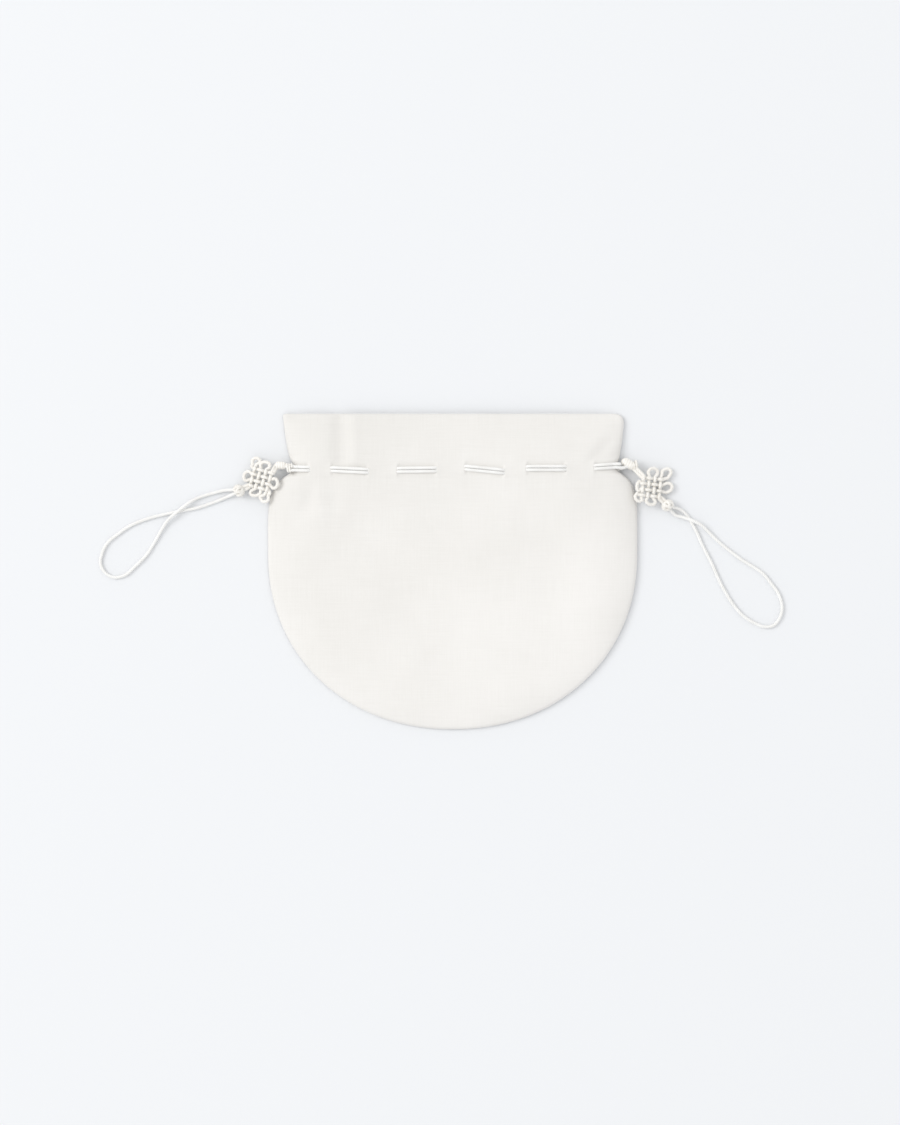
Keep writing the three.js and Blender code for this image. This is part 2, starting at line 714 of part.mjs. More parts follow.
const walls = [
  { wall: "front", columns: FRONT_COLUMNS, underside: frontUnder, topside: frontTop },
  { wall: "back", columns: BACK_COLUMNS, underside: backUnder, topside: backTop },
];
for (const { wall, columns, underside, topside } of walls) {
  const whole = solidOf(clothWall(columns, underside, topside));
  const cut = slits(wall).reduce((cloth, slit) => cloth.subtract(solidOf(slit)), whole);
  addPiece(`${wall}_panel`, geometryOf(cut), linen);
}

for (const name of Object.keys(SIDES)) {
  const { inner, outer, along } = knotPlaces(name);
  const drawstring = tube(new PointPath(drawstringRoute(name)), CORD_RADIUS, CORD_SIDES);
  addPiece(`${name}_drawstring`, drawstring, cordSilk);
  addPiece(`${name}_inner_knot`, buttonKnot(inner, along, INNER_KNOT_RADIUS), cordSilk);
  addPiece(`${name}_flower_knot`, geometryOf(flowerKnot(name)), cordSilk);
  addPiece(`${name}_outer_knot`, buttonKnot(outer, along, OUTER_KNOT_RADIUS), cordSilk);
  addPiece(`${name}_loop`, tube(new LevelPath(loopRoute(name)), CORD_RADIUS, CORD_SIDES), cordSilk);
}

export default pouch;
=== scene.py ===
"""Korean jumeoni: a bleached linen drawstring pouch with stitched neck cords, knots and end loops.

The classes hold their sizes in millimetres. Meshes go to Blender in metres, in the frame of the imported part:
X runs across the pouch, Y from its round bottom to its mouth, and Z up from the surface it lies on.
"""

from __future__ import annotations
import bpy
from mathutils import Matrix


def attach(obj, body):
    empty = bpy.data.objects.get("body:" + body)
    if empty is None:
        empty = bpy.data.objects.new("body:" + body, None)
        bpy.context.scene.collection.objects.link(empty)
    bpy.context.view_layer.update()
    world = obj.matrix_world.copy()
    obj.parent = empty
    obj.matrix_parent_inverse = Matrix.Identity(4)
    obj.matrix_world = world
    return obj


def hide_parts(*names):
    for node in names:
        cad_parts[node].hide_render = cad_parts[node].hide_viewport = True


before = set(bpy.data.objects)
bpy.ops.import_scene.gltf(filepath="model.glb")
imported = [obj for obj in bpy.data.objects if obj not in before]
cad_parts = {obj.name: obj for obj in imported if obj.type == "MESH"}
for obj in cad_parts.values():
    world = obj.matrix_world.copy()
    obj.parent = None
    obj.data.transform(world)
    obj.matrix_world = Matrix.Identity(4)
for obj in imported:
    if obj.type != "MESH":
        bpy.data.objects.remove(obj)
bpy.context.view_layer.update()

import logging
import math
from dataclasses import dataclass, field
from enum import Enum

import bpy
import numpy as np
from mathutils import Vector

LOG = logging.getLogger("jumeoni")
MM = 0.001
Array = np.ndarray


class Side(Enum):
    """The two sides of the pouch, with the direction of X on each."""

    LEFT = -1
    RIGHT = 1

    @property
    def word(self) -> str:
        """Name of the side as the nodes spell it."""
        return self.name.lower()


class Wall(Enum):
    """The two cloth walls of the pouch."""

    FRONT = "front"
    BACK = "back"


# Shapes of numbers


def ease(value: Array | float, low: float, high: float) -> Array:
    """Rises from 0 at low to 1 at high: three times the square of the share, less twice its cube.

    Args:
        value: The numbers to ease.
        low: Where the rise starts.
        high: Where it ends.

    Returns:
        The eased shares.
    """
    share = np.clip((np.asarray(value, float) - low) / (high - low), 0.0, 1.0)
    return share * share * (3 - 2 * share)


def bell(value: Array | float, centre: Array | float, width: float) -> Array:
    """Bell curve: e to the minus square of the distance from the centre over the width."""
    return np.exp(-(((np.asarray(value, float) - centre) / width) ** 2))


def span(value: Array, low: float, high: float, fade: float) -> Array:
    """1 between low and high, falling to 0 over fade on both sides."""
    return ease(value, low - fade, low + fade) * (1 - ease(value, high - fade, high + fade))


def spline(points: Array, step: float, closed: bool = False) -> Array:
    """Smooth line through points, with equal steps along it.

    Each stretch is a Catmull-Rom cubic: half of (2b + (c-a)t + (2a-5b+4c-d)t2 + (3b-a-3c+d)t3) for the four
    points a, b, c and d about it. The line is then cut into equal lengths.

    Args:
        points: The points it passes through, one a row.
        step: Distance wanted between the new points.
        closed: True where the last point runs on into the first.

    Returns:
        The new points, without a repeated last one on a closed line.
    """
    points = np.asarray(points, float)
    if closed:
        a, b, c, d = (np.roll(points, shift, axis=0) for shift in (1, 0, -1, -2))
    else:
        full = np.vstack([2 * points[0] - points[1], points, 2 * points[-1] - points[-2]])
        a, b, c, d = full[:-3], full[1:-2], full[2:-1], full[3:]
    t = np.linspace(0, 1, 24, endpoint=False)[None, :, None]
    a, b, c, d = (p[:, None, :] for p in (a, b, c, d))
    line = 0.5 * (2 * b + (c - a) * t + (2 * a - 5 * b + 4 * c - d) * t**2 + (3 * b - a - 3 * c + d) * t**3)
    line = line.reshape(-1, 3)
    line = np.vstack([line, points[:1] if closed else points[-1:]])
    run = np.concatenate([[0], np.cumsum(np.linalg.norm(np.diff(line, axis=0), axis=1))])
    count = max(int(round(run[-1] / step)), 4)
    at = np.linspace(0, run[-1], count + 1)
    even = np.stack([np.interp(at, run, line[:, k]) for k in range(3)], axis=1)
    return even[:-1] if closed else even


def length_of(line: Array, closed: bool = False) -> float:
    """Length of a line of points, the sum of its steps."""
    loop = np.vstack([line, line[:1]]) if closed else line
    return float(np.linalg.norm(np.diff(loop, axis=0), axis=1).sum())


# Meshes


@dataclass
class Skin:
    """Faces and vertices of one closed skin, in millimetres.

    Attributes:
        points: Vertices, one a row.
        quads: Corners of its four-sided faces.
        quad_uv: Pattern coordinates of each corner of the quads.
        tris: Corners of its three-sided faces.
        tri_uv: Pattern coordinates of each corner of the tris.
    """

    points: Array
    quads: Array
    quad_uv: Array
    tris: Array = field(default_factory=lambda: np.zeros((0, 3), int))
    tri_uv: Array = field(default_factory=lambda: np.zeros((0, 3, 2)))

    @staticmethod
    def joined(skins: list["Skin"]) -> "Skin":
        """One skin of several, each with its faces counted on past those before it.

        Args:
            skins: The skins to join.

        Returns:
            The joined skin.
        """
        starts = np.cumsum([0] + [len(skin.points) for skin in skins[:-1]])
        return Skin(
            np.vstack([skin.points for skin in skins]),
            np.vstack([skin.quads + start for skin, start in zip(skins, starts)]),
            np.vstack([skin.quad_uv for skin in skins]),
            np.vstack([skin.tris + start for skin, start in zip(skins, starts)]),
            np.vstack([skin.tri_uv for skin in skins]),
        )

    def to_object(self, name: str) -> bpy.types.Object:
        """Makes a smooth-shaded Blender object of the skin, at the origin and in metres.

        Args:
            name: Name of the new object and mesh.

        Returns:
            The object, linked to the scene.
        """
        mesh = bpy.data.meshes.new(name)
        mesh.from_pydata((self.points * MM).tolist(), [], self.quads.tolist() + self.tris.tolist())
        layer = mesh.uv_layers.new(name="lay")
        uv = np.concatenate([self.quad_uv.reshape(-1), self.tri_uv.reshape(-1)])
        layer.data.foreach_set("uv", uv.astype(np.float32))
        mesh.polygons.foreach_set("use_smooth", np.ones(len(mesh.polygons), bool))
        mesh.update()
        made = bpy.data.objects.new(name, mesh)
        bpy.context.scene.collection.objects.link(made)
        return made


@dataclass
class CordLay:
    """How the cord is twisted from its plies.

    Attributes:
        diameter: Outer diameter of the cord.
        plies: Number of plies twisted together.
        turn: Length in which a ply goes once round.
        groove: Depth of the groove between two plies, as a share of the radius.
        sides: Corners of each ring of the mesh.
        step: Distance between two rings.
    """

    diameter: float = 1.3
    plies: int = 3
    turn: float = 3.0
    groove: float = 0.3
    sides: int = 16
    step: float = 0.2

    @property
    def radius(self) -> float:
        """Half the diameter."""
        return self.diameter / 2

    def skin(self, line: Array, closed: bool = False, aside: tuple[float, float, float] = (0, 0, 1)) -> Skin:
        """Twisted cord along a line.

        A ring lies square to the line at every point. Its radius is the cord's, less the groove times one
        minus the size of the cosine of half the plies times the turned angle, which makes one round lobe a
        ply. Both ends of an open cord are rounded like a ball.

        Args:
            line: Middle of the cord, with equal steps.
            closed: True for a ring of cord.
            aside: A direction that the line never follows, which the rings are counted from.

        Returns:
            The closed skin, with pattern coordinates (count of plies passed, count of turns).
        """
        count, sides = len(line), self.sides
        if closed:
            along = np.roll(line, -1, axis=0) - np.roll(line, 1, axis=0)
        else:
            along = np.gradient(line, axis=0)
        along /= np.linalg.norm(along, axis=1, keepdims=True)
        across = np.cross(along, np.asarray(aside, float))
        across /= np.linalg.norm(across, axis=1, keepdims=True)
        upward = np.cross(across, along)
        total = length_of(line, closed)
        run = np.linspace(0, total, count, endpoint=not closed)
        turns = max(round(total / self.turn), 1) / total if closed else 1 / self.turn
        angle = np.arange(sides) / sides * 2 * np.pi
        turned = angle[None, :] + 2 * np.pi * turns * run[:, None]
        radius = self.radius * (1 - self.groove * (1 - np.abs(np.cos(self.plies * turned / 2))))
        if not closed:
            near_end = np.clip(np.minimum(run, total - run) / self.radius, 0.06, 1)
            radius = radius * np.sqrt(1 - (1 - near_end) ** 2)[:, None]
        level, tall = np.cos(angle)[None, :, None], np.sin(angle)[None, :, None]
        ring = across[:, None, :] * level + upward[:, None, :] * tall
        points = (line[:, None, :] + ring * radius[:, :, None]).reshape(-1, 3)
        rows = np.arange(count if closed else count - 1)[:, None]
        cols = np.arange(sides)[None, :]
        after, beside = (rows + 1) % count, (cols + 1) % sides
        here, there = rows * sides, after * sides
        quads = np.stack([here + cols, here + beside, there + beside, there + cols], axis=-1).reshape(-1, 4)
        gained = turns * total / (count if closed else count - 1)
        shape = (len(rows), sides, 4)
        v = np.broadcast_to(np.stack([rows, rows, rows + 1, rows + 1], axis=-1), shape) * gained
        round_share = np.broadcast_to(np.stack([cols, cols + 1, cols + 1, cols], axis=-1), shape) / sides
        u = self.plies * (round_share + v)
        quad_uv = np.stack([u, v], axis=-1).reshape(-1, 4, 2)
        if closed:
            return Skin(points, quads, quad_uv)
        ends = np.vstack([line[:1] - along[:1] * 0.02, line[-1:] + along[-1:] * 0.02])
        first, last = len(points), len(points) + 1
        ring_now, ring_next = np.arange(sides), (np.arange(sides) + 1) % sides
        foot = (count - 1) * sides
        tris = np.vstack(
            [
                np.stack([ring_next, ring_now, np.full(sides, first)], axis=1),
                np.stack([foot + ring_now, foot + ring_next, np.full(sides, last)], axis=1),
            ]
        )
        return Skin(np.vstack([points, ends]), quads, quad_uv, tris, np.zeros((len(tris), 3, 2)))


# The pouch's form


@dataclass(frozen=True)
class Fold:
    """A soft fold pressed into the front.

    Attributes:
        at: Place across, as a share of the half width.
        start: Where it starts, as a share of the side's rise.
        end: Where it ends, as a share of the side's rise.
        depth: Depth in millimetres; a negative one stands out.
        width: Width in millimetres.
    """

    at: float
    start: float
    end: float
    depth: float
    width: float


@dataclass(frozen=True)
class Stitch:
    """One visible stitch of the drawstring.

    Attributes:
        start: Where it comes out, as a share of the half width.
        end: Where it goes in.
        start_rise: Height over the neck line at its start, as a share of the cord's diameter.
        end_rise: The same at its end.
    """

    start: float
    end: float
    start_rise: float
    end_rise: float


@dataclass
class PouchForm:
    """Outline and heights of the pouch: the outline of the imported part, with the heights of soft cloth.

    Attributes:
        belly_width: Widest width.
        belly_drop: From the widest line down to the bottom.
        belly_roundness: Power of the bottom's rounded curve; 2 makes an ellipse.
        side_rise: From the widest line up to the mouth.
        neck_rise: From the widest line up to the neck line.
        left_corner: Radius of the mouth's left corner.
        right_corner: Radius of its right corner.
        notch_depth: How far the cord draws the edge in at the neck.
        notch_width: Width of that notch along the edge.
        seam_lift: How far the back's underside is lifted at the seam.
        seam_band: Share of the way out over which it is lifted.
        belly_height: Height of the front along the middle of the belly.
        neck_height: The same at the neck.
        mouth_height: The same at the mouth.
        edge_height: Height that the front rises from at its sides.
        neck_edge_height: The same at the neck.
        belly_fullness: First power of the front's rise, across the belly.
        neck_fullness: The same across the neck.
        rise_power: Second power of that rise.
        fold_fade: Share of the side's rise over which a fold fades out.
        cord: Diameter of the cord.
        cord_clearance: Room beside a strand.
        floor_clearance: Room between a strand and the surface.
        lane: From the neck line to the middle of either strand.
        side_edge: Shares of the side's rise, and of the half width on the left and the right there.
        folds: Folds in the front.
        stitches: Stitches of the drawstring, from left to right.
    """

    belly_width: float = 139
    belly_drop: float = 65.9
    belly_roundness: float = 2.1
    side_rise: float = 52.9
    neck_rise: float = 32.1
    left_corner: float = 1
    right_corner: float = 3.5
    notch_depth: float = 1.3
    notch_width: float = 2.6
    seam_lift: float = 0.2
    seam_band: float = 0.08
    belly_height: float = 7.1
    neck_height: float = 7.4
    mouth_height: float = 3.9
    edge_height: float = 1.5
    neck_edge_height: float = 3.4
    belly_fullness: float = 3.6
    neck_fullness: float = 7
    rise_power: float = 0.6
    fold_fade: float = 0.06
    cord: float = 1.3
    cord_clearance: float = 0.35
    floor_clearance: float = 0.1
    lane: float = 0.63
    side_edge: tuple[tuple[float, float, float], ...] = (
        (0.0, 1.0, 1.0),
        (0.25, 1.0, 1.0),
        (0.37, 0.992, 0.997),
        (0.445, 0.975, 0.987),
        (0.52, 0.938, 0.963),
        (0.575, 0.898, 0.926),
        (0.61, 0.872, 0.903),
        (0.645, 0.87, 0.897),
        (0.7, 0.886, 0.905),
        (0.82, 0.904, 0.919),
        (1.0, 0.921, 0.932),
    )
    folds: tuple[Fold, ...] = (
        Fold(-0.604, 0.62, 1.1, 0.95, 3.2),
        Fold(-0.535, 0.62, 1.1, -0.35, 2.56),
        Fold(-0.66, 0.34, 0.6, 0.45, 3.84),
        Fold(-0.77, 0.3, 0.56, 0.35, 2.88),
        Fold(0.8, 0.36, 0.58, 0.3, 3.52),
    )
    stitches: tuple[Stitch, ...] = (
        Stitch(-1.0, -0.776, 0.3, -0.05),
        Stitch(-0.653, -0.458, -0.15, -0.7),
        Stitch(-0.295, -0.091, -0.4, -0.25),
        Stitch(0.069, 0.276, 0.25, -0.85),
        Stitch(0.401, 0.609, 0.15, 0.15),
        Stitch(0.768, 1.0, 0.45, 1.35),
    )

    @property
    def half(self) -> float:
        """Half of the widest width."""
        return self.belly_width / 2

    @property
    def belly_line(self) -> float:
        """Height of the widest line."""
        return (self.belly_drop - self.side_rise) / 2

    @property
    def bottom(self) -> float:
        """Height of the lowest point of the seam."""
        return self.belly_line - self.belly_drop

    @property
    def neck(self) -> float:
        """Height of the neck line."""
        return self.belly_line + self.neck_rise

    @property
    def mouth(self) -> float:
        """Height of the mouth's edge."""
        return self.belly_line + self.side_rise

    @property
    def cord_radius(self) -> float:
        """Half of the cord's diameter."""
        return self.cord / 2

    @property
    def back_raise(self) -> float:
        """How far the back is lifted over the drawstring."""
        return self.cord + self.cord_clearance + self.floor_clearance

    @property
    def raise_flat(self) -> float:
        """Half of the breadth that is lifted all the way."""
        return self.lane + self.cord_radius + self.cord_clearance

    def near_neck(self, y: Array) -> Array:
        """1 along the neck, where the back is lifted over the strands, and 0 away from it."""
        away = np.abs(np.asarray(y, float) - self.neck)
        return 1 - ease(away, self.raise_flat, self.raise_flat + 3 * self.cord)

    def neck_edge(self, side: Side) -> float:
        """Place across of the neck's edge on one side."""
        return side.value * float(self.half_width(self.neck, side))

    def half_width(self, y: Array | float, side: Side) -> Array:
        """Half width at a height.

        Below the widest line it is the rounded curve: one minus the drop to the power of the roundness, all
        to one over the roundness. Above it, a cubic through the rows of side_edge, less the notch that the
        cord draws in at the neck and less the rounding of the mouth's corner.

        Args:
            y: Heights.
            side: Which side of the pouch.

        Returns:
            Half widths.
        """
        y = np.asarray(y, float)
        drop = np.clip((self.belly_line - y) / self.belly_drop, 0, 1)
        below = self.half * (1 - drop**self.belly_roundness) ** (1 / self.belly_roundness)
        table = np.array(self.side_edge)
        rises, shares = table[:, 0], table[:, 1 if side is Side.LEFT else 2]
        last = len(table) - 2
        rise = (y - self.belly_line) / self.side_rise
        low = np.clip(np.searchsorted(rises, rise, side="right") - 1, 0, last)
        high, before, after = low + 1, np.maximum(low - 1, 0), np.minimum(low + 2, last + 1)
        gap = rises[high] - rises[low]
        t = (rise - rises[low]) / gap
        slope_low = (shares[high] - shares[before]) / np.maximum(rises[high] - rises[before], gap)
        slope_high = (shares[after] - shares[low]) / np.maximum(rises[after] - rises[low], gap)
        share = (
            (2 * t**3 - 3 * t**2 + 1) * shares[low]
            + (t**3 - 2 * t**2 + t) * gap * slope_low
            + (3 * t**2 - 2 * t**3) * shares[high]
            + (t**3 - t**2) * gap * slope_high
        )
        notch = self.notch_depth * bell(y, self.neck - self.cord_radius, self.notch_width)
        radius = self.left_corner if side is Side.LEFT else self.right_corner
        over = np.clip((y - self.mouth + radius) / radius, 0, 1)
        above = share * self.half - notch - radius * (1 - np.sqrt(1 - over**2))
        return np.where(y <= self.belly_line, below, above)

    def either_half(self, x: Array, y: Array) -> Array:
        """Half width at a height, on the side that x is on."""
        return np.where(np.asarray(x) < 0, self.half_width(y, Side.LEFT), self.half_width(y, Side.RIGHT))

    def outward(self, x: Array, y: Array) -> Array:
        """How far a point is out from the middle.

        Args:
            x: Places across.
            y: Places up.

        Returns:
            Shares, from 0 in the middle to 1 at the seam.
        """
        x, y = np.broadcast_arrays(np.asarray(x, float), np.asarray(y, float))
        above = np.abs(x) / self.either_half(x, np.maximum(y, self.belly_line))
        down = np.maximum((self.belly_line - y) / self.belly_drop, 0)
        power = self.belly_roundness
        below = ((np.abs(x) / self.half) ** power + down**power) ** (1 / power)
        return np.clip(np.where(y >= self.belly_line, above, below), 0, 1)

    def back_under(self, x: Array, y: Array) -> Array:
        """Underside of the back: flat, lifted at the seam and over the drawstring."""
        lift = self.seam_lift * ease(self.outward(x, y), 1 - self.seam_band, 1)
        return np.maximum(lift, self.back_raise * self.near_neck(y))

    def fold_depth(self, x: Array, y: Array) -> Array:
        """Depth of the folds in the front.

        Args:
            x: Places across.
            y: Places up.

        Returns:
            Depths, which fade out towards the seam.
        """
        x, y = np.broadcast_arrays(np.asarray(x, float), np.asarray(y, float))
        rise = (y - self.belly_line) / self.side_rise
        depth = np.zeros_like(x)
        for fold in self.folds:
            along = span(rise, fold.start, fold.end, self.fold_fade)
            depth = depth + fold.depth * along * bell(x, fold.at * self.half, fold.width)
        return depth * (1 - ease(self.outward(x, y), 0.86, 0.98))

    def front_top(self, x: Array, y: Array) -> Array:
        """Upper side of the front wall.

        It starts from the height of the edge and rises to the height along the middle by one minus the
        outward share to the power of the fullness, all to the power of the rise, less the folds.

        Args:
            x: Places across.
            y: Places up.

        Returns:
            Heights.
        """
        y = np.asarray(y, float)
        to_neck = ease(y, self.belly_line + self.neck_rise / 2, self.neck - self.raise_flat)
        to_mouth = ease(y, self.neck + self.raise_flat, self.mouth)
        middle = self.belly_height + (self.neck_height - self.belly_height) * to_neck
        middle = middle + (self.mouth_height - middle) * to_mouth
        fullness = self.belly_fullness + (self.neck_fullness - self.belly_fullness) * to_neck
        edge = self.edge_height + (self.neck_edge_height - self.edge_height) * self.near_neck(y)
        rise = (middle - edge) * (1 - self.outward(x, y) ** fullness) ** self.rise_power
        return edge + rise - self.fold_depth(x, y)

    @property
    def dives(self) -> tuple[tuple[float, int], ...]:
        """Places along X where the cords pass through a wall, with 1 where they come out towards +X.

        Returns:
            Place and direction of each dive, from left to right.
        """
        outs = [(stitch.start * self.half, 1) for stitch in self.stitches[1:]]
        ins = [(stitch.end * self.half, -1) for stitch in self.stitches[:-1]]
        return tuple(sorted(outs + ins))

    def drift(self, x: Array) -> Array:
        """Height of the stitches' middle line over the neck line, a straight run from end to end of each.

        Args:
            x: Places across.

        Returns:
            Heights over the neck line.
        """
        places = [share * self.half for s in self.stitches for share in (s.start, s.end)]
        rises = [share * self.cord for s in self.stitches for share in (s.start_rise, s.end_rise)]
        return np.interp(x, places, rises)


# Cloth


@dataclass(frozen=True)
class CasingLine:
    """A faint line across the front, where a layer of the casing ends under the cloth.

    Attributes:
        height: Its place up where it passes the place about.
        slope: How far it rises for each millimetre across.
        about: Place across that its height is given at.
        depth: Its depth.
        start: Where it starts across.
        end: Where it ends.
        width: Its width.
        fade: Length over which both its ends fade out.
    """

    height: float
    slope: float
    about: float
    depth: float
    start: float
    end: float
    width: float = 0.5
    fade: float = 2.5

    def relief(self, x: Array, y: Array) -> Array:
        """Height that the line adds, which is negative."""
        valley = -self.depth * bell(y, self.height + self.slope * (x - self.about), self.width)
        return valley * span(x, self.start, self.end, self.fade)


@dataclass
class ClothWall:
    """A wall of the pouch: a fine sheet of cloth with a thickness, turned-in edges and holes for the cords.

    Attributes:
        form: The pouch's form.
        wall: Front or back.
        thickness: Thickness of the wall.
        dive: Length in which a strand passes through the wall.
        edge_round: Distance from the seam over which the cloth turns down to it.
        seam_height: Height of the seam over the surface.
        seam_rise: How much higher the seam is at the neck.
        seam_half_gap: Half of the hairline gap in the seam.
        dents: Soft dents as place across, place up, width, reach, lean and depth; negative ones stand out.
        wave_count: Number of long shallow waves.
        wave_height: Height of each.
        wave_lengths: Shortest and longest of them.
        pucker_height: Height of the puckers where the cords pass through.
        pucker_leans: How they lean, in turn.
        pucker_lengths: From one pucker to the next, in turn.
        hem_sag: How far the hem band sags towards the mouth.
        hem_band: Breadth of the hem band.
        hem_line: Place up of its line, and the depth and width of that.
        casing: Lines of the casing.
        valley: Valley along the neck: how far under the neck line it is, its depth and its width.
        crease_at: Middle of the slanting crease.
        crease_way: Level direction square to it.
        crease: Its depth, width and length.
        columns: Number of evenly spaced columns of the mesh.
        hole_half: Half of the breadth of each hole, which the cord in it fills.
        hole_reach: How far each hole reaches on both sides of the middle of its dive.
        hem_roll: Length over which the front's edge at the mouth rolls down.
        hem_drop: How far it drops there at most.
        hem_share: Share of its height over the seam that it may drop.
        trough: How deep a strand presses into the wall that it lies on.
        sink: How deep the wall is drawn in just before a hole.
        lip: How far a strand lifts the wall where it has just passed under.
    """

    form: PouchForm
    wall: Wall
    thickness: float = 0.45
    dive: float = 4.2
    edge_round: float = 1.0
    seam_height: float = 0.42
    seam_rise: float = 1.5
    seam_half_gap: float = 0.05
    dents: tuple[tuple[float, ...], ...] = (
        (-55, 26, 2.6, 8, 0.45, 0.2),
        (-49, 24, 3.0, 8, 0.3, -0.14),
        (-44, 25, 2.4, 8, 0.2, 0.16),
        (-24, 28, 3.2, 8, -0.1, 0.07),
        (12, 28, 3.4, 8, 0.12, 0.06),
        (52, 27, 3.0, 8, -0.35, 0.12),
        (58, 28, 2.6, 8, -0.5, -0.1),
        (-30, 9, 15, 14, -0.15, 1.4),
        (-42, 49, 6.5, 12, 0.0, 0.4),
        (-30, -4, 10, 16, 0.1, -0.35),
        (-10, 6, 12, 14, 0.3, 0.3),
        (38, 4, 10, 18, 0.1, 0.4),
        (52, -6, 7, 16, -0.1, -0.25),
        (-42, -26, 12, 10, 0.3, -0.3),
        (56.5, 46, 3.2, 5, 0.75, 0.45),
        (51, 45, 3.0, 5, 0.6, -0.25),
        (20, 50, 9, 8, 0.1, 0.2),
        (-14, 50, 10, 8, -0.1, -0.2),
    )
    wave_count: int = 9
    wave_height: float = 0.04
    wave_lengths: tuple[float, float] = (24, 60)
    pucker_height: float = 0.055
    pucker_leans: tuple[float, ...] = (-0.2, 0.25)
    pucker_lengths: tuple[float, ...] = (4.6, 5.3, 6.0)
    hem_sag: float = 0.75
    hem_band: float = 5.5
    hem_line: tuple[float, float, float] = (54.2, 0.035, 0.5)
    casing: tuple[CasingLine, ...] = (
        CasingLine(26.1, 0.01, 0, 0.07, -43, 44),
        CasingLine(29.0, -0.012, 42, 0.06, 43, 63),
    )
    valley: tuple[float, float, float] = (3.2, 0.12, 2.2)
    crease_at: tuple[float, float] = (-9.1, 18.4)
    crease_way: tuple[float, float] = (0.8, 0.6)
    crease: tuple[float, float, float] = (0.12, 0.9, 5)
    columns: int = 151
    hole_half: float = 0.48
    hole_reach: float = 0.36
    hem_roll: float = 1.7
    hem_drop: float = 1.5
    hem_share: float = 0.55
    trough: float = 0.16
    sink: float = 0.34
    lip: float = 0.22

    @property
    def node(self) -> str:
        """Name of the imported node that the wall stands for."""
        return f"{self.wall.value}_panel"

    def rows(self) -> Array:
        """Heights of the rows: close at the round bottom, at the neck and at the mouth's edge.

        Returns:
            Places up, from the bottom to the mouth.
        """
        form = self.form
        belly = form.belly_line - form.belly_drop * np.cos(np.linspace(0.005, np.pi / 2, 64))
        shoulder = np.linspace(form.belly_line, form.neck - 5, 30)[1:]
        outer, inner = form.lane + self.hole_half, form.lane - self.hole_half
        marks = (-5, -outer, -inner, inner, outer, 5)
        counts = (15, 7, 3, 7, 15)
        neck = np.concatenate([np.linspace(a, b, n + 1)[1:] for a, b, n in zip(marks, marks[1:], counts)])
        neck = form.neck + neck
        collar = np.linspace(form.neck + 5, form.mouth - 1.5, 18)[1:]
        edge = form.mouth - 1.5 * np.cos(np.linspace(0, np.pi / 2, 9))[1:]
        return np.concatenate([belly, shoulder, neck, collar, edge])

    def grid(self) -> tuple[Array, Array]:
        """Places of the mesh's points: the columns are shares of the half width, closer at seam and holes.

        Returns:
            X and Y of every point, one row of the mesh a row.
        """
        form = self.form
        share = np.linspace(-1, 1, self.columns)
        share = share * (1.36 - 0.36 * share**2)
        for place, _ in form.dives:
            middle = place / float(form.either_half(place, form.neck))
            reach = (self.dive / 2 + 0.6) / form.half
            outside = share[np.abs(share - middle) > reach]
            share = np.sort(np.concatenate([outside, np.linspace(middle - reach, middle + reach, 20)]))
        y = np.repeat(self.rows()[:, None], len(share), axis=1)
        level = share[None, :] * form.half
        if self.wall is Wall.FRONT:
            y = y + form.drift(level) * (1 - ease(np.abs(y - form.neck), 2, 5))
        x = share[None, :] * form.either_half(share[None, :] * np.ones_like(y), y)
        return x, y

    def turned_edge(self, x: Array, y: Array) -> Array:
        """Quarter-round rise from 0 on the seam to 1 where the wall lies free."""
        away = (1 - self.form.outward(x, y)) * self.form.half / self.edge_round
        return np.sqrt(1 - (1 - np.clip(away, 0, 1)) ** 2)

    def relief(self, x: Array, y: Array) -> Array:
        """Fine relief of the cloth over the plain form.

        It adds up long shallow waves, the hem band of the mouth with its line, the lines of the casing, the
        small puckers at the places where the cords pass through, the soft puckers of the shoulders and one
        slanting crease. All of it fades out at the seam.

        Args:
            x: Places across.
            y: Places up.

        Returns:
            Height to add, in millimetres.
        """
        form = self.form
        rng = np.random.default_rng(7 if self.wall is Wall.FRONT else 11)
        waves = np.zeros_like(x)
        for _ in range(self.wave_count):
            ends = ((0, np.pi), self.wave_lengths, (0, 2 * np.pi))
            turn, size, phase = (rng.uniform(low, high) for low, high in ends)
            along = x * np.cos(turn) + y * np.sin(turn)
            waves += self.wave_height * np.cos(2 * np.pi * along / size + phase)
        centre = self.strand_middle(x)
        puckers = np.zeros_like(x)
        for i, (place, _) in enumerate(form.dives):
            away = x - place - (y - centre) * self.pucker_leans[i % 2]
            ripple = np.cos(2 * np.pi * away / self.pucker_lengths[i % 3])
            puckers += self.pucker_height * ripple * bell(away, 0, 4.0) * bell(y, centre, 5.0)
        line, line_depth, line_width = self.hem_line
        hem = -self.hem_sag * ease(y, form.mouth - self.hem_band, form.mouth + 1.5)
        hem = hem - line_depth * bell(y, line, line_width)
        casing = sum(sewn.relief(x, y) for sewn in self.casing)
        below, valley_depth, valley_width = self.valley
        valley = -valley_depth * bell(y, form.neck - below, valley_width)
        from_x, from_y = x - self.crease_at[0], y - self.crease_at[1]
        way_x, way_y = self.crease_way
        crease_depth, crease_width, crease_length = self.crease
        crease = -crease_depth * bell(from_x * way_x + from_y * way_y, 0, crease_width)
        crease = crease * bell(from_x * way_y - from_y * way_x, 0, crease_length)
        soft = np.zeros_like(x)
        for place, up, size, reach, lean, deep in self.dents:
            soft -= deep * bell(x - place - lean * (y - up), 0, size) * bell(y, up, reach)
        if self.wall is Wall.BACK:
            hem, casing, crease, valley, soft = 0 * hem, 0 * casing, 0 * crease, 0 * valley, 0 * soft
        total = waves + puckers + hem + casing + valley + crease + soft
        return total * (1 - ease(form.outward(x, y), 0.93, 0.995))

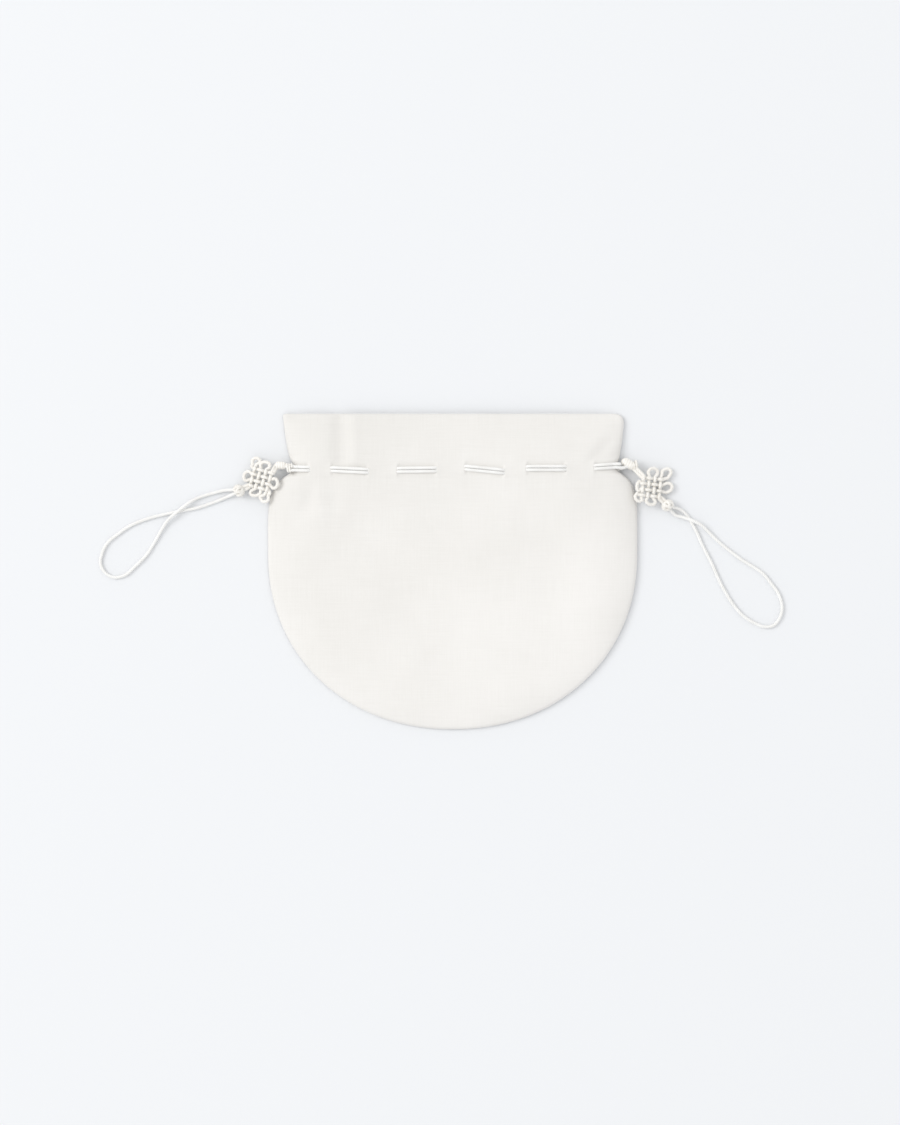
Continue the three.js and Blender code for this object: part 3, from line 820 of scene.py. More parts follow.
    def plain_outer(self, x: Array, y: Array) -> Array:
        """Outer side of the wall before the strands press into it, and before its edge turns in."""
        if self.wall is Wall.FRONT:
            return self.form.front_top(x, y) + self.relief(x, y)
        return self.form.back_under(x, y)

    def strand_middle(self, x: Array) -> Array:
        """Height along Y of the line midway between the two strands."""
        return self.form.neck + (self.form.drift(x) if self.wall is Wall.FRONT else 0 * np.asarray(x, float))

    def strand_offset(self, x: Array) -> Array:
        """How far the strands' middle lies out from the plain outer side, in millimetres.

        The share out falls or rises by half a sine over each dive, and mixes the offset of a strand that
        lies in its trough with that of one inside.

        Args:
            x: Places across.

        Returns:
            Offsets, positive outside.
        """
        out = np.ones_like(x)
        for place, turn in self.form.dives:
            step = 0.5 + 0.5 * np.sin(np.clip((x - place) / (self.dive / 2), -1, 1) * np.pi / 2)
            out = out + turn * step
        return self.inside_offset + (self.outside_offset - self.inside_offset) * np.clip(out, 0, 1)

    @property
    def outside_offset(self) -> float:
        """Offset of a strand that lies in its trough."""
        return self.form.cord_radius - self.trough

    @property
    def inside_offset(self) -> float:
        """Offset of a strand that has passed inside."""
        return self.lip - self.thickness - self.form.cord_radius

    def strand_press(self, x: Array) -> Array:
        """How far the strands press the wall in, negative, or lift it, positive.

        Before the middle of a dive the wall lies just under the strand, drawn in by the sink at most, and
        after it just over the strand, lifted by the lip at most. It passes from one to the other by an
        ease, and the strand fills the hole there.

        Args:
            x: Places across.

        Returns:
            Shift of the wall's outer side, outwards.
        """
        offset, radius = self.strand_offset(x), self.form.cord_radius + 0.02
        middle = (self.outside_offset + self.inside_offset) / 2
        share = ease(offset, middle - 0.3, middle + 0.3)
        under = np.maximum(offset - radius, -self.sink)
        over = np.clip(offset + radius + self.thickness, 0, self.lip) * self.near_dive(x)
        return over + (under - over) * share

    def near_dive(self, x: Array) -> Array:
        """1 near a dive and 0 further than a few millimetres from each."""
        return np.max([bell(x, place, 3.2) for place, _ in self.form.dives], axis=0)

    def surfaces(self, x: Array, y: Array) -> tuple[Array, Array]:
        """Heights of the wall's upper and lower sides.

        In the band of the strands the outer side takes the height of its middle line plus what the strands
        press. Both sides turn in to the seam by the quarter round, and the wall narrows there. At the mouth
        the front rolls down by another quarter round.

        Args:
            x: Places across.
            y: Places up.

        Returns:
            Heights of the upper and of the lower side.
        """
        form = self.form
        outward = 1 if self.wall is Wall.FRONT else -1
        turned = self.turned_edge(x, y)
        thick = self.thickness * (0.3 + 0.7 * turned)
        middle = self.strand_middle(x)
        band = 1 - ease(np.abs(y - middle), form.lane + 0.4, form.lane + 2.6)
        outer = self.plain_outer(x, y)
        level = self.plain_outer(x, middle) + outward * self.strand_press(x)
        outer = outer + (level - outer) * band
        seam = self.seam_height + self.seam_rise * form.near_neck(y)
        seam = seam + outward * (self.seam_half_gap + 0.3 * self.thickness)
        outer = seam + (outer - seam) * turned
        if self.wall is Wall.FRONT:
            over = np.clip((y - form.mouth + self.hem_roll) / self.hem_roll, 0, 1)
            free = np.minimum(self.hem_drop, self.hem_share * np.maximum(outer - seam, 0))
            outer = outer - free * (1 - np.sqrt(1 - over**2))
            return outer, outer - thick
        return outer + thick, outer

    def kept_cells(self, x: Array, y: Array) -> Array:
        """Which cells of the mesh aren't in a hole. Each strand has one at each of its dives, and fills it.

        Args:
            x: Places across of the mesh's points.
            y: Places up of the same.

        Returns:
            True for each cell that stays.
        """
        form = self.form
        mid_x = (x[:-1, :-1] + x[1:, 1:]) / 2
        mid_y = (y[:-1, :-1] + y[1:, 1:]) / 2
        kept = np.ones_like(mid_x, bool)
        middle = self.strand_middle(mid_x)
        for place, _ in form.dives:
            for lane in (-form.lane, form.lane):
                along = (mid_x - place) / self.hole_reach
                beside = (mid_y - middle - lane) / self.hole_half
                kept &= (np.abs(along) > 1) | (np.abs(beside) > 1)
        return kept

    def skin(self) -> Skin:
        """Closed skin of the wall: its two sides, and a rim wherever a kept cell has no kept neighbour.

        Returns:
            The skin, with pattern coordinates in centimetres across and up.
        """
        x, y = self.grid()
        top, under = self.surfaces(x, y)
        rows, cols = x.shape
        kept = self.kept_cells(x, y)
        number = np.arange(rows * cols).reshape(rows, cols)
        low = rows * cols

        def corners(mask: Array) -> tuple[Array, Array, Array, Array]:
            """Numbers of the four corners of the cells in a mask."""
            return number[:-1, :-1][mask], number[:-1, 1:][mask], number[1:, 1:][mask], number[1:, :-1][mask]

        a, b, c, d = corners(kept)
        faces = [np.stack([a, b, c, d], axis=1), np.stack([d + low, c + low, b + low, a + low], axis=1)]
        padded = np.pad(kept, 1)
        for mask, first, second in (
            (kept & ~padded[1:-1, :-2], 3, 0),
            (kept & ~padded[1:-1, 2:], 1, 2),
            (kept & ~padded[:-2, 1:-1], 0, 1),
            (kept & ~padded[2:, 1:-1], 2, 3),
        ):
            ring = corners(mask)
            p, q = ring[first], ring[second]
            faces.append(np.stack([p + low, q + low, q, p], axis=1))
        quads = np.vstack(faces)
        points = np.vstack([np.stack([x, y, z], axis=-1).reshape(-1, 3) for z in (top, under)])
        uv = np.tile(np.stack([x, y], axis=-1).reshape(-1, 2) / 10, (2, 1))
        used, packed = np.unique(quads, return_inverse=True)
        return Skin(points[used], packed.reshape(quads.shape), uv[quads])

    def build(self, finish: "Finish") -> bpy.types.Object:
        """Args:
            finish: The cloth's finish.

        Returns:
            The finished wall.
        """
        form = self.form
        piece = self.skin().to_object(f"{self.node}_cloth")
        finish.put_on(piece)
        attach(piece, "root")
        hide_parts(self.node)
        y = np.linspace(form.bottom, form.mouth, 400)
        area = float(np.trapz(form.half_width(y, Side.LEFT) + form.half_width(y, Side.RIGHT), y))
        return piece


# Cords and knots


@dataclass
class KnotPlaces:
    """Where the knots of one side lie.

    Attributes:
        inner: Centre of the inner knot.
        flower: Centre of the flower knot.
        outer: Centre of the outer knot.
    """

    inner: Array
    flower: Array
    outer: Array

    @property
    def along(self) -> Array:
        """Level direction from the inner knot to the outer one.

        Returns:
            Direction of length 1.
        """
        run = self.outer - self.inner
        run = run * [1, 1, 0]
        return run / np.linalg.norm(run)

    @property
    def across(self) -> Array:
        """Level direction square to along."""
        return np.array([-self.along[1], self.along[0], 0.0])


@dataclass
class CordSide:
    """The cord that comes out on one side: drawstring, inner knot, flower knot, outer knot and loop.

    Attributes:
        form: The pouch's form.
        front: The front wall, whose surface the cord lies on.
        back: The back wall, which it passes too.
        side: Which side of the pouch.
        inner_step: From the edge of the neck to the inner knot.
        flower_step: From the inner knot to the flower knot.
        outer_step: From the flower knot to the outer knot.
        loop: Route of the loop, counted from the outer knot; a third number is its height.
        barrel_shift: From the inner knot's place to the middle of its served barrel.
        barrel_length: Length of the barrel.
        barrel_radius: Radius of the barrel.
        barrel_angle: Angle of the barrel to X, in degrees.
        wrap_shift: From the inner knot's place to the middle of the wrap.
        wrap_turns: Number of turns of the wrap.
        wrap_step: Length of one turn of the wrap.
        wrap_radii: Level and upright radius of the wrap.
        lay: How the free cord is twisted.
        inner_radius: Radius of the inner knot.
        outer_radius: Radius of the outer knot.
        side_ears: Length and sideways lean of the four side ears: the far and near ones of the level lines,
            then of the upright ones.
        corner_tips: Places of the tips of the two corner ears, along the two ways of the lines.
        pitch: Distance between two neighbouring lines of the flower knot.
        knot_cord: Diameter of the cord in the flower knot.
        corner_width: Half of the breadth of a corner ear.
        lean: How fast the flower knot rises towards the pouch.
        weave: How far a line of the flower knot swings up and down.
        knot_clearance: Room between a round knot and the surface.
        flower_rise: Height of the flower knot's middle over the cord's diameter.
        tail_spread: Half of the distance between the two strands that leave the flower knot.
    """

    form: PouchForm
    front: ClothWall
    back: ClothWall
    side: Side
    inner_step: tuple[float, float]
    flower_step: tuple[float, float]
    outer_step: tuple[float, float]
    loop: tuple[tuple[float, ...], ...]
    side_ears: tuple[tuple[float, float], ...]
    corner_tips: tuple[tuple[float, float], ...]
    barrel_shift: tuple[float, float, float]
    barrel_length: float
    barrel_radius: float
    barrel_angle: float
    wrap_shift: tuple[float, float, float]
    wrap_turns: float
    wrap_step: float = 0.84
    wrap_radii: tuple[float, float] = (1.4, 1.15)
    lay: CordLay = field(default_factory=CordLay)
    inner_radius: float = 1.75
    outer_radius: float = 2.3
    pitch: float = 2.2
    knot_cord: float = 1.4
    corner_width: float = 1.6
    lean: float = 0.28
    weave: float = 0.7
    knot_clearance: float = 0.1
    flower_rise: float = 0.22
    tail_spread: float = 0.75

    @property
    def word(self) -> str:
        """Name of the side."""
        return self.side.word

    @property
    def barrel_axis(self) -> Array:
        """Direction of the barrel, from its left end to its right end."""
        angle = math.radians(self.barrel_angle)
        return np.array([math.cos(angle), math.sin(angle), 0.0])

    @property
    def barrel_end(self) -> Array:
        """End of the barrel that the flower knot hangs on."""
        centre = self.places.inner + np.array(self.barrel_shift)
        return centre + self.side.value * self.barrel_axis * (self.barrel_length / 2 - 0.9)

    @property
    def lane(self) -> float:
        """How far over the neck line this cord keeps."""
        return -self.side.value * self.form.lane

    @property
    def places(self) -> KnotPlaces:
        """Centres of the knots, each lying on the surface.

        Returns:
            The three centres.
        """
        inner = np.array([self.form.neck_edge(self.side), self.form.neck]) + self.inner_step
        flower = inner + self.flower_step
        outer = flower + self.outer_step
        return KnotPlaces(
            np.array([*inner, self.inner_radius + self.knot_clearance]),
            np.array([*flower, self.form.cord + self.flower_rise]),
            np.array([*outer, self.outer_radius + self.knot_clearance]),
        )

    def lying(self, wall: ClothWall, x: Array) -> Array:
        """Height of the cord's middle in a wall: the wall's middle line plus the strand's offset.

        Args:
            wall: The wall it passes along.
            x: Places across.

        Returns:
            Heights.
        """
        half = self.form.either_half(x, self.form.neck) - wall.edge_round - self.form.cord_radius
        inner = np.clip(x, -half, half)
        outward = 1 if wall.wall is Wall.FRONT else -1
        return wall.plain_outer(inner, wall.strand_middle(inner)) + outward * wall.strand_offset(inner)

    def channel(self, wall: ClothWall) -> Array:
        """The cord's middle through one wall, from the left edge to the right, with close points."""
        x = np.linspace(self.form.neck_edge(Side.LEFT) + 0.3, self.form.neck_edge(Side.RIGHT) - 0.3, 360)
        return np.stack([x, wall.strand_middle(x) + self.lane, self.lying(wall, x)], axis=1)

    def edge_turn(self, side: Side) -> Array:
        """The cord's turn round an edge of the neck, from front to back, at one distance from the cloth.

        Args:
            side: Which edge.

        Returns:
            Points of the cord's middle.
        """
        form = self.form
        edge = form.neck_edge(side)
        drift = float(form.drift(edge))
        start_y, end_y = form.neck + drift + self.lane, form.neck + self.lane
        start = float(self.lying(self.front, np.array([edge]))[0])
        end = float(self.lying(self.back, np.array([edge]))[0])
        away = form.cord_radius + 0.12
        steps = np.arange(9)
        upper = steps < 5
        angle = np.where(upper, steps, steps - 1) / 7 * np.pi
        y = start_y + (end_y - start_y) * ease(steps, 3, 8)
        beside = [form.half_width(y + shift, side) for shift in (-form.cord_radius, 0, form.cord_radius)]
        out = np.max(beside, axis=0) + away * np.sin(angle)
        z = np.where(upper, start - away, end + away) + away * np.cos(angle)
        return np.stack([side.value * out, y, z], axis=1)

    def drawstring_line(self) -> Array:
        """Middle of the whole drawstring, from its inner knot through the front, round and back.

        Returns:
            Points with equal steps.
        """
        form, inner = self.form, self.places.inner
        reach = self.side.value
        front, back = self.channel(self.front), self.channel(self.back)
        if reach > 0:
            front, back = front[::-1], back[::-1]
        towards = np.sign(front[0, 0] - inner[0])

        def knot_end(rise: float) -> Array:
            """Place just outside the inner knot, at a height over its middle."""
            away = self.inner_radius + 0.02
            return inner + np.array([towards * math.sqrt(away**2 - rise**2), 0, rise])

        first, last = knot_end(0.55 * self.inner_radius), knot_end(-0.45 * self.inner_radius)
        bow = 0.4 * form.cord
        front_slope = (front[0] + first) / 2 + np.array([0, bow * np.sign(self.lane), bow])
        back_slope = back[0] + (last - back[0]) * 0.6
        back_slope[2] = back[0, 2]
        far = Side.RIGHT if self.side is Side.LEFT else Side.LEFT
        rough = np.vstack([first, front_slope, front, self.edge_turn(far), back[::-1], back_slope, last])
        keep = np.concatenate([[True], np.linalg.norm(np.diff(rough, axis=0), axis=1) > 0.12])
        return spline(rough[keep], self.lay.step)

    def over_pouch(self, x: Array, y: Array) -> Array:
        """Lowest height at which a strand's middle clears the pouch.

        Args:
            x: Places across.
            y: Places up.

        Returns:
            Heights, 0 where the strand lies beside the pouch.
        """
        form = self.form
        beside = np.abs(x) - form.half_width(y, self.side) > form.cord_radius + 0.3
        near = [form.front_top(x + shift, y) for shift in (-form.cord_radius, 0.0, form.cord_radius)]
        return np.where(beside, 0.0, np.max(near, axis=0) + 0.1 + form.cord_radius)

    def flower_lines(self) -> tuple[list[Array], list[Array]]:
        """Strands of the flower knot.

        Four lines one way pass over and under four lines the other way: the height of each is the weave
        times a cosine that turns over at every crossing. The outer lines run on through a tail to the next
        knot and through a corner ear into each other. The inner ones are rings with an ear at each end.

        Returns:
            The open strands and the rings, as rough points.
        """
        form, places = self.form, self.places
        along, across, flower = places.along, places.across, places.flower
        p = (along + across) / np.linalg.norm(along + across)
        q = (along - across) / np.linalg.norm(along - across)
        lines = (np.arange(4) - 1.5) * self.pitch
        outer = lines[3]
        end = outer + form.cord_radius
        corner = math.sqrt(2) * (outer + form.cord_radius)

        def at(p_shift: Array, q_shift: Array, rise: Array) -> Array:
            """Places in the knot, leaning on the pouch and clear of it.

            Args:
                p_shift: Shifts from the middle along p.
                q_shift: Shifts along q.
                rise: Heights over the knot's middle layer.

            Returns:
                Places, one a row.
            """
            shifts = (np.atleast_1d(value).astype(float) for value in (p_shift, q_shift, rise))
            p_shift, q_shift, rise = np.broadcast_arrays(*shifts)
            place = flower + p_shift[:, None] * p + q_shift[:, None] * q
            towards = self.side.value * (flower[0] - place[:, 0]) + corner
            height = flower[2] + rise + self.lean * np.maximum(towards, 0)
            clear = self.over_pouch(place[:, 0], place[:, 1]) + np.maximum(rise, -0.3)
            place[:, 2] = np.maximum(height, clear)
            return place

        def line(i: int, way: int, p_line: bool) -> Array:
            """A line of the weave, from one end to the other in the given way.

            Args:
                i: Number of the line, from 0 to 3.
                way: 1 or -1 along it.
                p_line: True for a line that keeps its place along p.

            Returns:
                Places along the line.
            """
            run = np.linspace(-end, end, 15) * way
            turn = np.cos(np.pi * ((run - lines[0]) / self.pitch + i)) * self.weave
            inside = 1 - ease(np.abs(run), outer, end + 0.5)
            return at(lines[i], run, turn * inside) if p_line else at(run, lines[i], -turn * inside)

        def side_ear(p_line: bool, face: int) -> Array:
            """An ear from line 1 to line 2 at one side.

            Args:
                p_line: True for an ear of the lines that keep their place along p.
                face: 1 or -1 for the side it is on.

            Returns:
                Places along the ear.
            """
            reach, shift = self.side_ears[(0 if p_line else 2) + (0 if face > 0 else 1)]
            rows = np.array([(-0.66, 0.22), (-0.8, 0.5), (-0.56, 0.86), (0, 1.0)])
            rows = np.vstack([rows, rows[-2::-1] * [-1, 1]])
            run = face * (end + rows[:, 1] * reach)
            aside = rows[:, 0] * self.pitch + shift * rows[:, 1]
            return at(aside, run, 0.1) if p_line else at(run, aside, -0.1)

        def corner_ear(face: int) -> Array:
            """A corner ear, from the outer level line round its tip to the outer upright line.

            Args:
                face: 1 or -1 for the corner it is at.

            Returns:
                Places along the ear.
            """
            tip = np.array(self.corner_tips[0 if face > 0 else 1])
            way = tip / np.linalg.norm(tip)
            aside = np.array([way[1], -way[0]])
            first = np.array([-face * outer, face * end])
            aside = aside * np.sign(aside @ (first - tip * (first @ way) / np.linalg.norm(tip)))
            second = np.array([-face * end, face * outer])
            rows = np.array(
                [
                    first + (tip - first) * 0.3 + aside * 0.55 * self.corner_width,
                    tip * 0.74 + aside * self.corner_width,
                    tip * 0.94 + aside * 0.72 * self.corner_width,
                    tip,
                    tip * 0.94 - aside * 0.72 * self.corner_width,
                    tip * 0.74 - aside * self.corner_width,
                    second + (tip - second) * 0.3 - aside * 0.55 * self.corner_width,
                ]
            )
            return at(rows[:, 0], rows[:, 1], np.linspace(0.15, -0.15, len(rows)))

        def tail(knot: Array, depth: float, shift: float, rise: float) -> Array:
            """Where a strand ends inside the knot next to this one, a depth from that knot's middle.

            Args:
                knot: Middle of that knot.
                depth: Distance from it.
                shift: Distance to the side.
                rise: Height over it.

            Returns:
                The place, as a single row.
            """
            away = (flower - knot) * [1, 1, 0]
            away /= np.linalg.norm(away)
            return (knot + away * depth + across * shift + np.array([0, 0, rise]))[None, :]

        strands = []
        for p_line in (True, False):
            face = 1 if p_line else -1
            shift = face * self.tail_spread
            start = tail(self.barrel_end, 0.2, 0.7 * shift, 0.0)
            finish = tail(places.outer, 1.3, 0.8 * shift, -0.3)
            ear = corner_ear(face) if p_line else corner_ear(face)[::-1]
            strands.append(np.vstack([start, line(0, 1, p_line), ear, line(3, 1, not p_line), finish]))
        rings = [
            np.vstack([line(1, 1, way), side_ear(way, 1), line(2, -1, way), side_ear(way, -1)[::-1]])
            for way in (True, False)
        ]
        return strands, rings

    def loop_line(self) -> Array:
        """Middle of the loop: a smooth line through its route.

        Returns:
            Points with equal steps.
        """
        lying = self.form.cord_radius + 0.03
        route = np.array([(*row, lying)[:3] for row in self.loop]) + self.places.outer * [1, 1, 0]
        return spline(route, self.lay.step)

    def button_skin(self, centre: Array, radius: float, axis: Array) -> Skin:
        """A button knot: one cord wound over a ball in three leads, round a smooth core.

        While the cord goes three times round the axis, its latitude swings five times to both sides, and its
        distance from the middle grows and shrinks ten times, which lays it over and under itself.

        Args:
            centre: Middle of the knot.
            radius: Outer radius.
            axis: Direction of the cords that it sits on.

        Returns:
            Skin of the wound cord and its core.
        """
        lay = CordLay(diameter=radius * 0.62, turn=2.0, sides=12, step=0.14)
        leads, swings = 3, 5
        turn = np.linspace(0, 2 * np.pi, 300, endpoint=False)
        away = radius * (0.7 + 0.1 * np.cos(2 * swings * turn))
        latitude = 0.98 * np.sin(swings * turn)
        up = np.array([0.0, 0.0, 1.0])
        beside = np.cross(axis, up)
        out = away * np.cos(latitude)
        line = (
            centre
            + axis * (1.06 * away * np.sin(latitude))[:, None]
            + beside * (out * np.cos(leads * turn))[:, None]
            + up * (out * np.sin(leads * turn))[:, None]
        )
        wound = lay.skin(spline(line, lay.step, closed=True), closed=True, aside=(0.31, 0.17, 0.93))
        return Skin.joined([wound, self.served_skin(centre, axis, radius * 1.5, radius * 0.62)])

    @staticmethod
    def served_skin(centre: Array, axis: Array, length: float, radius: float) -> Skin:
        """A barrel of cord served round and round: a tube with one shallow spiral groove and round ends.

        Args:
            centre: Its middle.
            axis: Its direction.
            length: Its length.
            radius: Its radius.

        Returns:
            Skin of the barrel.
        """
        lay = CordLay(diameter=2 * radius, plies=1, turn=0.95, groove=0.09, sides=26, step=0.12)
        run = np.linspace(-0.5, 0.5, max(int(length / lay.step), 6))[:, None]
        return lay.skin(centre + axis * length * run, aside=(0.05, 0.1, 0.99))

    def wrap_skin(self) -> Skin:
        """Turns of the other cord wrapped round the strands next to the pouch: a short spiral along X.

        Returns:
            Skin of the wrap.
        """
        lay = CordLay(diameter=0.85, turn=1.7, plies=2, sides=10, step=0.12)
        turn = np.linspace(-self.wrap_turns / 2, self.wrap_turns / 2, 90)
        centre = self.places.inner + np.array(self.wrap_shift)
        line = np.stack(
            [
                centre[0] + turn * self.wrap_step,
                centre[1] + self.wrap_radii[0] * np.cos(2 * np.pi * turn),
                centre[2] + self.wrap_radii[1] * np.sin(2 * np.pi * turn),
            ],
            axis=1,
        )
        return lay.skin(spline(line, lay.step), aside=(1, 0, 0.02))

    def inner_skin(self) -> Skin:
        """The inner knot: a served barrel with the wrap beside it.

        Returns:
            Skin of both.
        """
        centre = self.places.inner + np.array(self.barrel_shift)
        barrel = self.served_skin(centre, self.barrel_axis, self.barrel_length, self.barrel_radius)
        return Skin.joined([barrel, self.wrap_skin()])

    def build(self, finish: "Finish", warm_shaded_knot_finish: "Finish") -> list[bpy.types.Object]:
        """Args:
            finish: Finish of the free cord.
            warm_shaded_knot_finish: Finish of the knots: a warmer copy of the cord's finish, painted warm
                shade for the shade they lie in.

        Returns:
            The five pieces.
        """
        word, places = self.word, self.places
        strands, rings = self.flower_lines()
        knot_lay = CordLay(diameter=self.knot_cord, sides=12, step=0.2, turn=2.8)
        skins = [knot_lay.skin(spline(strand, knot_lay.step)) for strand in strands]
        skins += [knot_lay.skin(spline(ring, knot_lay.step, closed=True), closed=True) for ring in rings]
        flower = Skin.joined(skins).to_object(f"{word}_flower_knot_cords")
        inner = self.inner_skin().to_object(f"{word}_inner_knot_cord")
        button = self.button_skin(places.outer, self.outer_radius, places.along)
        outer = button.to_object(f"{word}_outer_knot_cord")
        string_line, loop_line = self.drawstring_line(), self.loop_line()
        string = self.lay.skin(string_line, aside=(0, 1, 0)).to_object(f"{word}_drawstring_cord")
        loop = self.lay.skin(loop_line).to_object(f"{word}_loop_cord")
        for piece, node, look in (
            (string, f"{word}_drawstring", finish),
            (inner, f"{word}_inner_knot", warm_shaded_knot_finish),
            (flower, f"{word}_flower_knot", warm_shaded_knot_finish),
            (outer, f"{word}_outer_knot", warm_shaded_knot_finish),
            (loop, f"{word}_loop", finish),
        ):
            look.put_on(piece)
            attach(piece, "root")
            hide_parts(node)
        return [string, inner, flower, outer, loop]


# Finishes


class NodeSheet:
    """Short-hand for laying shader nodes out in one tree."""

    def __init__(self, tree: bpy.types.NodeTree) -> None:
        """Keeps the tree that nodes are added to."""
        self.tree = tree

    def add(self, kind: str, values: dict | None = None, **settings: object) -> bpy.types.Node:
        """Adds a node.

        Args:
            kind: Blender's name for the kind of node.
            values: Input values or links, by input name or number.
            settings: Properties of the node.

        Returns:
            The new node.
        """
        node = self.tree.nodes.new(kind)
        for name, value in settings.items():
            setattr(node, name, value)
        for name, value in (values or {}).items():
            if isinstance(value, bpy.types.NodeSocket):
                self.tree.links.new(value, node.inputs[name])
            else:
                node.inputs[name].default_value = value
        return node

    def math(self, operation: str, *values: object) -> bpy.types.NodeSocket:
        """Adds a Math node and returns its result."""
        node = self.add("ShaderNodeMath", dict(enumerate(values)), operation=operation)
        return node.outputs[0]


class EffectGroups:
    """Shader node groups that several finishes use, each built once."""

    @staticmethod
    def new(name: str, inputs: tuple[tuple[str, str, object], ...], outputs: tuple[tuple[str, str], ...]):
        """Starts a group with named sockets.

        Args:
            name: Name of the group.
            inputs: Name, kind and first value of each input.
            outputs: Name and kind of each output.

        Returns:
            The group, its node sheet, its input node and its output node.
        """
        group = bpy.data.node_groups.new(name, "ShaderNodeTree")
        for label, kind, value in inputs:
            socket = group.interface.new_socket(label, in_out="INPUT", socket_type=kind)
            if value is not None:
                socket.default_value = value
        for label, kind in outputs:
            group.interface.new_socket(label, in_out="OUTPUT", socket_type=kind)
        sheet = NodeSheet(group)
        return group, sheet, sheet.add("NodeGroupInput"), sheet.add("NodeGroupOutput")

    @classmethod
    def plain_weave(cls) -> bpy.types.NodeTree:
        """Plain weave of slubby threads.

        A thread's height is the size of a sine across it. Where the two sines' signs agree, the warp lies on
        top, and elsewhere the weft. Noise stretched along each thread makes it thicker and thinner.

        Returns:
            The group, whose vector is in centimetres.
        """
        name = "plain weave"
        if name in bpy.data.node_groups:
            return bpy.data.node_groups[name]
        group, sheet, given, out = cls.new(
            name,
            (
                ("Vector", "NodeSocketVector", None),
                ("Threads per cm", "NodeSocketFloat", 22.0),
                ("Slub", "NodeSocketFloat", 0.5),
            ),
            (("Height", "NodeSocketFloat"), ("Slub mask", "NodeSocketFloat")),
        )
        split = sheet.add("ShaderNodeSeparateXYZ", {0: given.outputs["Vector"]})
        vector, slender, under = given.outputs["Vector"], 0.035, 0.35
        sines, slubs = [], []
        for axis, stretch in ((0, (1.0, slender, 1.0)), (1, (slender, 1.0, 1.0))):
            counted = sheet.math("MULTIPLY", split.outputs[axis], given.outputs["Threads per cm"])
            sines.append(sheet.math("SINE", sheet.math("MULTIPLY", counted, math.pi)))
            scaled = sheet.add("ShaderNodeVectorMath", {0: vector, 1: stretch}, operation="MULTIPLY")
            values = {"Vector": scaled.outputs[0], "Scale": 22.0, "Detail": 2.0}
            noise = sheet.add("ShaderNodeTexNoise", values)
            slubs.append(noise.outputs["Fac"])
        agree = sheet.math("GREATER_THAN", sheet.math("MULTIPLY", sines[0], sines[1]), 0.0)
        tall = [sheet.math("ABSOLUTE", sine) for sine in sines]
        lifted = sheet.math("MULTIPLY", agree, 1 - under)
        warp = sheet.math("MULTIPLY", tall[0], sheet.math("ADD", under, lifted))
        weft = sheet.math("MULTIPLY", tall[1], sheet.math("SUBTRACT", 1.0, lifted))
        mask = sheet.math("SUBTRACT", sheet.math("ADD", slubs[0], slubs[1]), 1.0)
        weave = sheet.math("MAXIMUM", warp, weft)
        height = sheet.math("ADD", weave, sheet.math("MULTIPLY", mask, given.outputs["Slub"]))
        sheet.tree.links.new(height, out.inputs["Height"])
        sheet.tree.links.new(mask, out.inputs["Slub mask"])
        return group

    @classmethod
    def cloudy_tint(cls) -> bpy.types.NodeTree:
        """Two colours mixed by soft clouds and an extra mask, for washed cloth and cord; the finishes put
        painted light and shade into that mask.

        Returns:
            The group, whose vector is in metres.
        """
        name = "cloudy tint"
        if name in bpy.data.node_groups:
            return bpy.data.node_groups[name]
        group, sheet, given, out = cls.new(
            name,
            (
                ("Vector", "NodeSocketVector", None),
                ("Light", "NodeSocketColor", (0.9, 0.9, 0.88, 1)),
                ("Dark", "NodeSocketColor", (0.85, 0.84, 0.8, 1)),
                ("Clouds per m", "NodeSocketFloat", 40.0),
                ("Extra mask", "NodeSocketFloat", 0.0),
            ),
            (("Color", "NodeSocketColor"),),
        )
        values = {"Vector": given.outputs["Vector"], "Scale": given.outputs["Clouds per m"], "Detail": 4.0}
        noise = sheet.add("ShaderNodeTexNoise", values)
        share = sheet.math("ADD", noise.outputs["Fac"], given.outputs["Extra mask"])
        mixed = sheet.add(
            "ShaderNodeMix",
            {"Factor": share, 6: given.outputs["Dark"], 7: given.outputs["Light"]},
            data_type="RGBA",
            clamp_factor=True,
        )
        sheet.tree.links.new(mixed.outputs[2], out.inputs["Color"])
        return group


@dataclass(frozen=True)
class Gloss:
    """How a material takes light: plain values of its Principled shader.

    Attributes:
        roughness: How rough it is.
        specular: Strength of its clear reflection.
        sheen: Strength of its velvety sheen.
        sheen_roughness: How widely the sheen spreads.
    """

    roughness: float
    specular: float
    sheen: float = 0.0
    sheen_roughness: float = 0.5

    def put_in(self, shader: bpy.types.Node) -> None:
        """Writes the values into a Principled shader.

        Args:
            shader: The shader.
        """
        shader.inputs["Roughness"].default_value = self.roughness
        shader.inputs["Specular IOR Level"].default_value = self.specular
        shader.inputs["Sheen Weight"].default_value = self.sheen
        shader.inputs["Sheen Roughness"].default_value = self.sheen_roughness


class Finish:
    """A material that can be put on a piece.

    Attributes:
        name: Name of the material.
    """

    name: str

    def make(self) -> bpy.types.Material:
        """Builds the material. Each finish has its own."""
        raise NotImplementedError

    def put_on(self, piece: bpy.types.Object) -> None:
        """Gives the piece this finish, building the material the first time.

        Args:
            piece: The piece to dress.
        """
        material = bpy.data.materials.get(self.name) or self.make()
        piece.data.materials.clear()
        piece.data.materials.append(material)

    def start(self) -> tuple[bpy.types.Material, NodeSheet, bpy.types.Node]:
        """New material with its node sheet and its Principled shader.

        Returns:
            The material, the sheet and the shader.
        """
        material = bpy.data.materials.new(self.name)
        material.use_nodes = True
        sheet = NodeSheet(material.node_tree)
        return material, sheet, material.node_tree.nodes["Principled BSDF"]


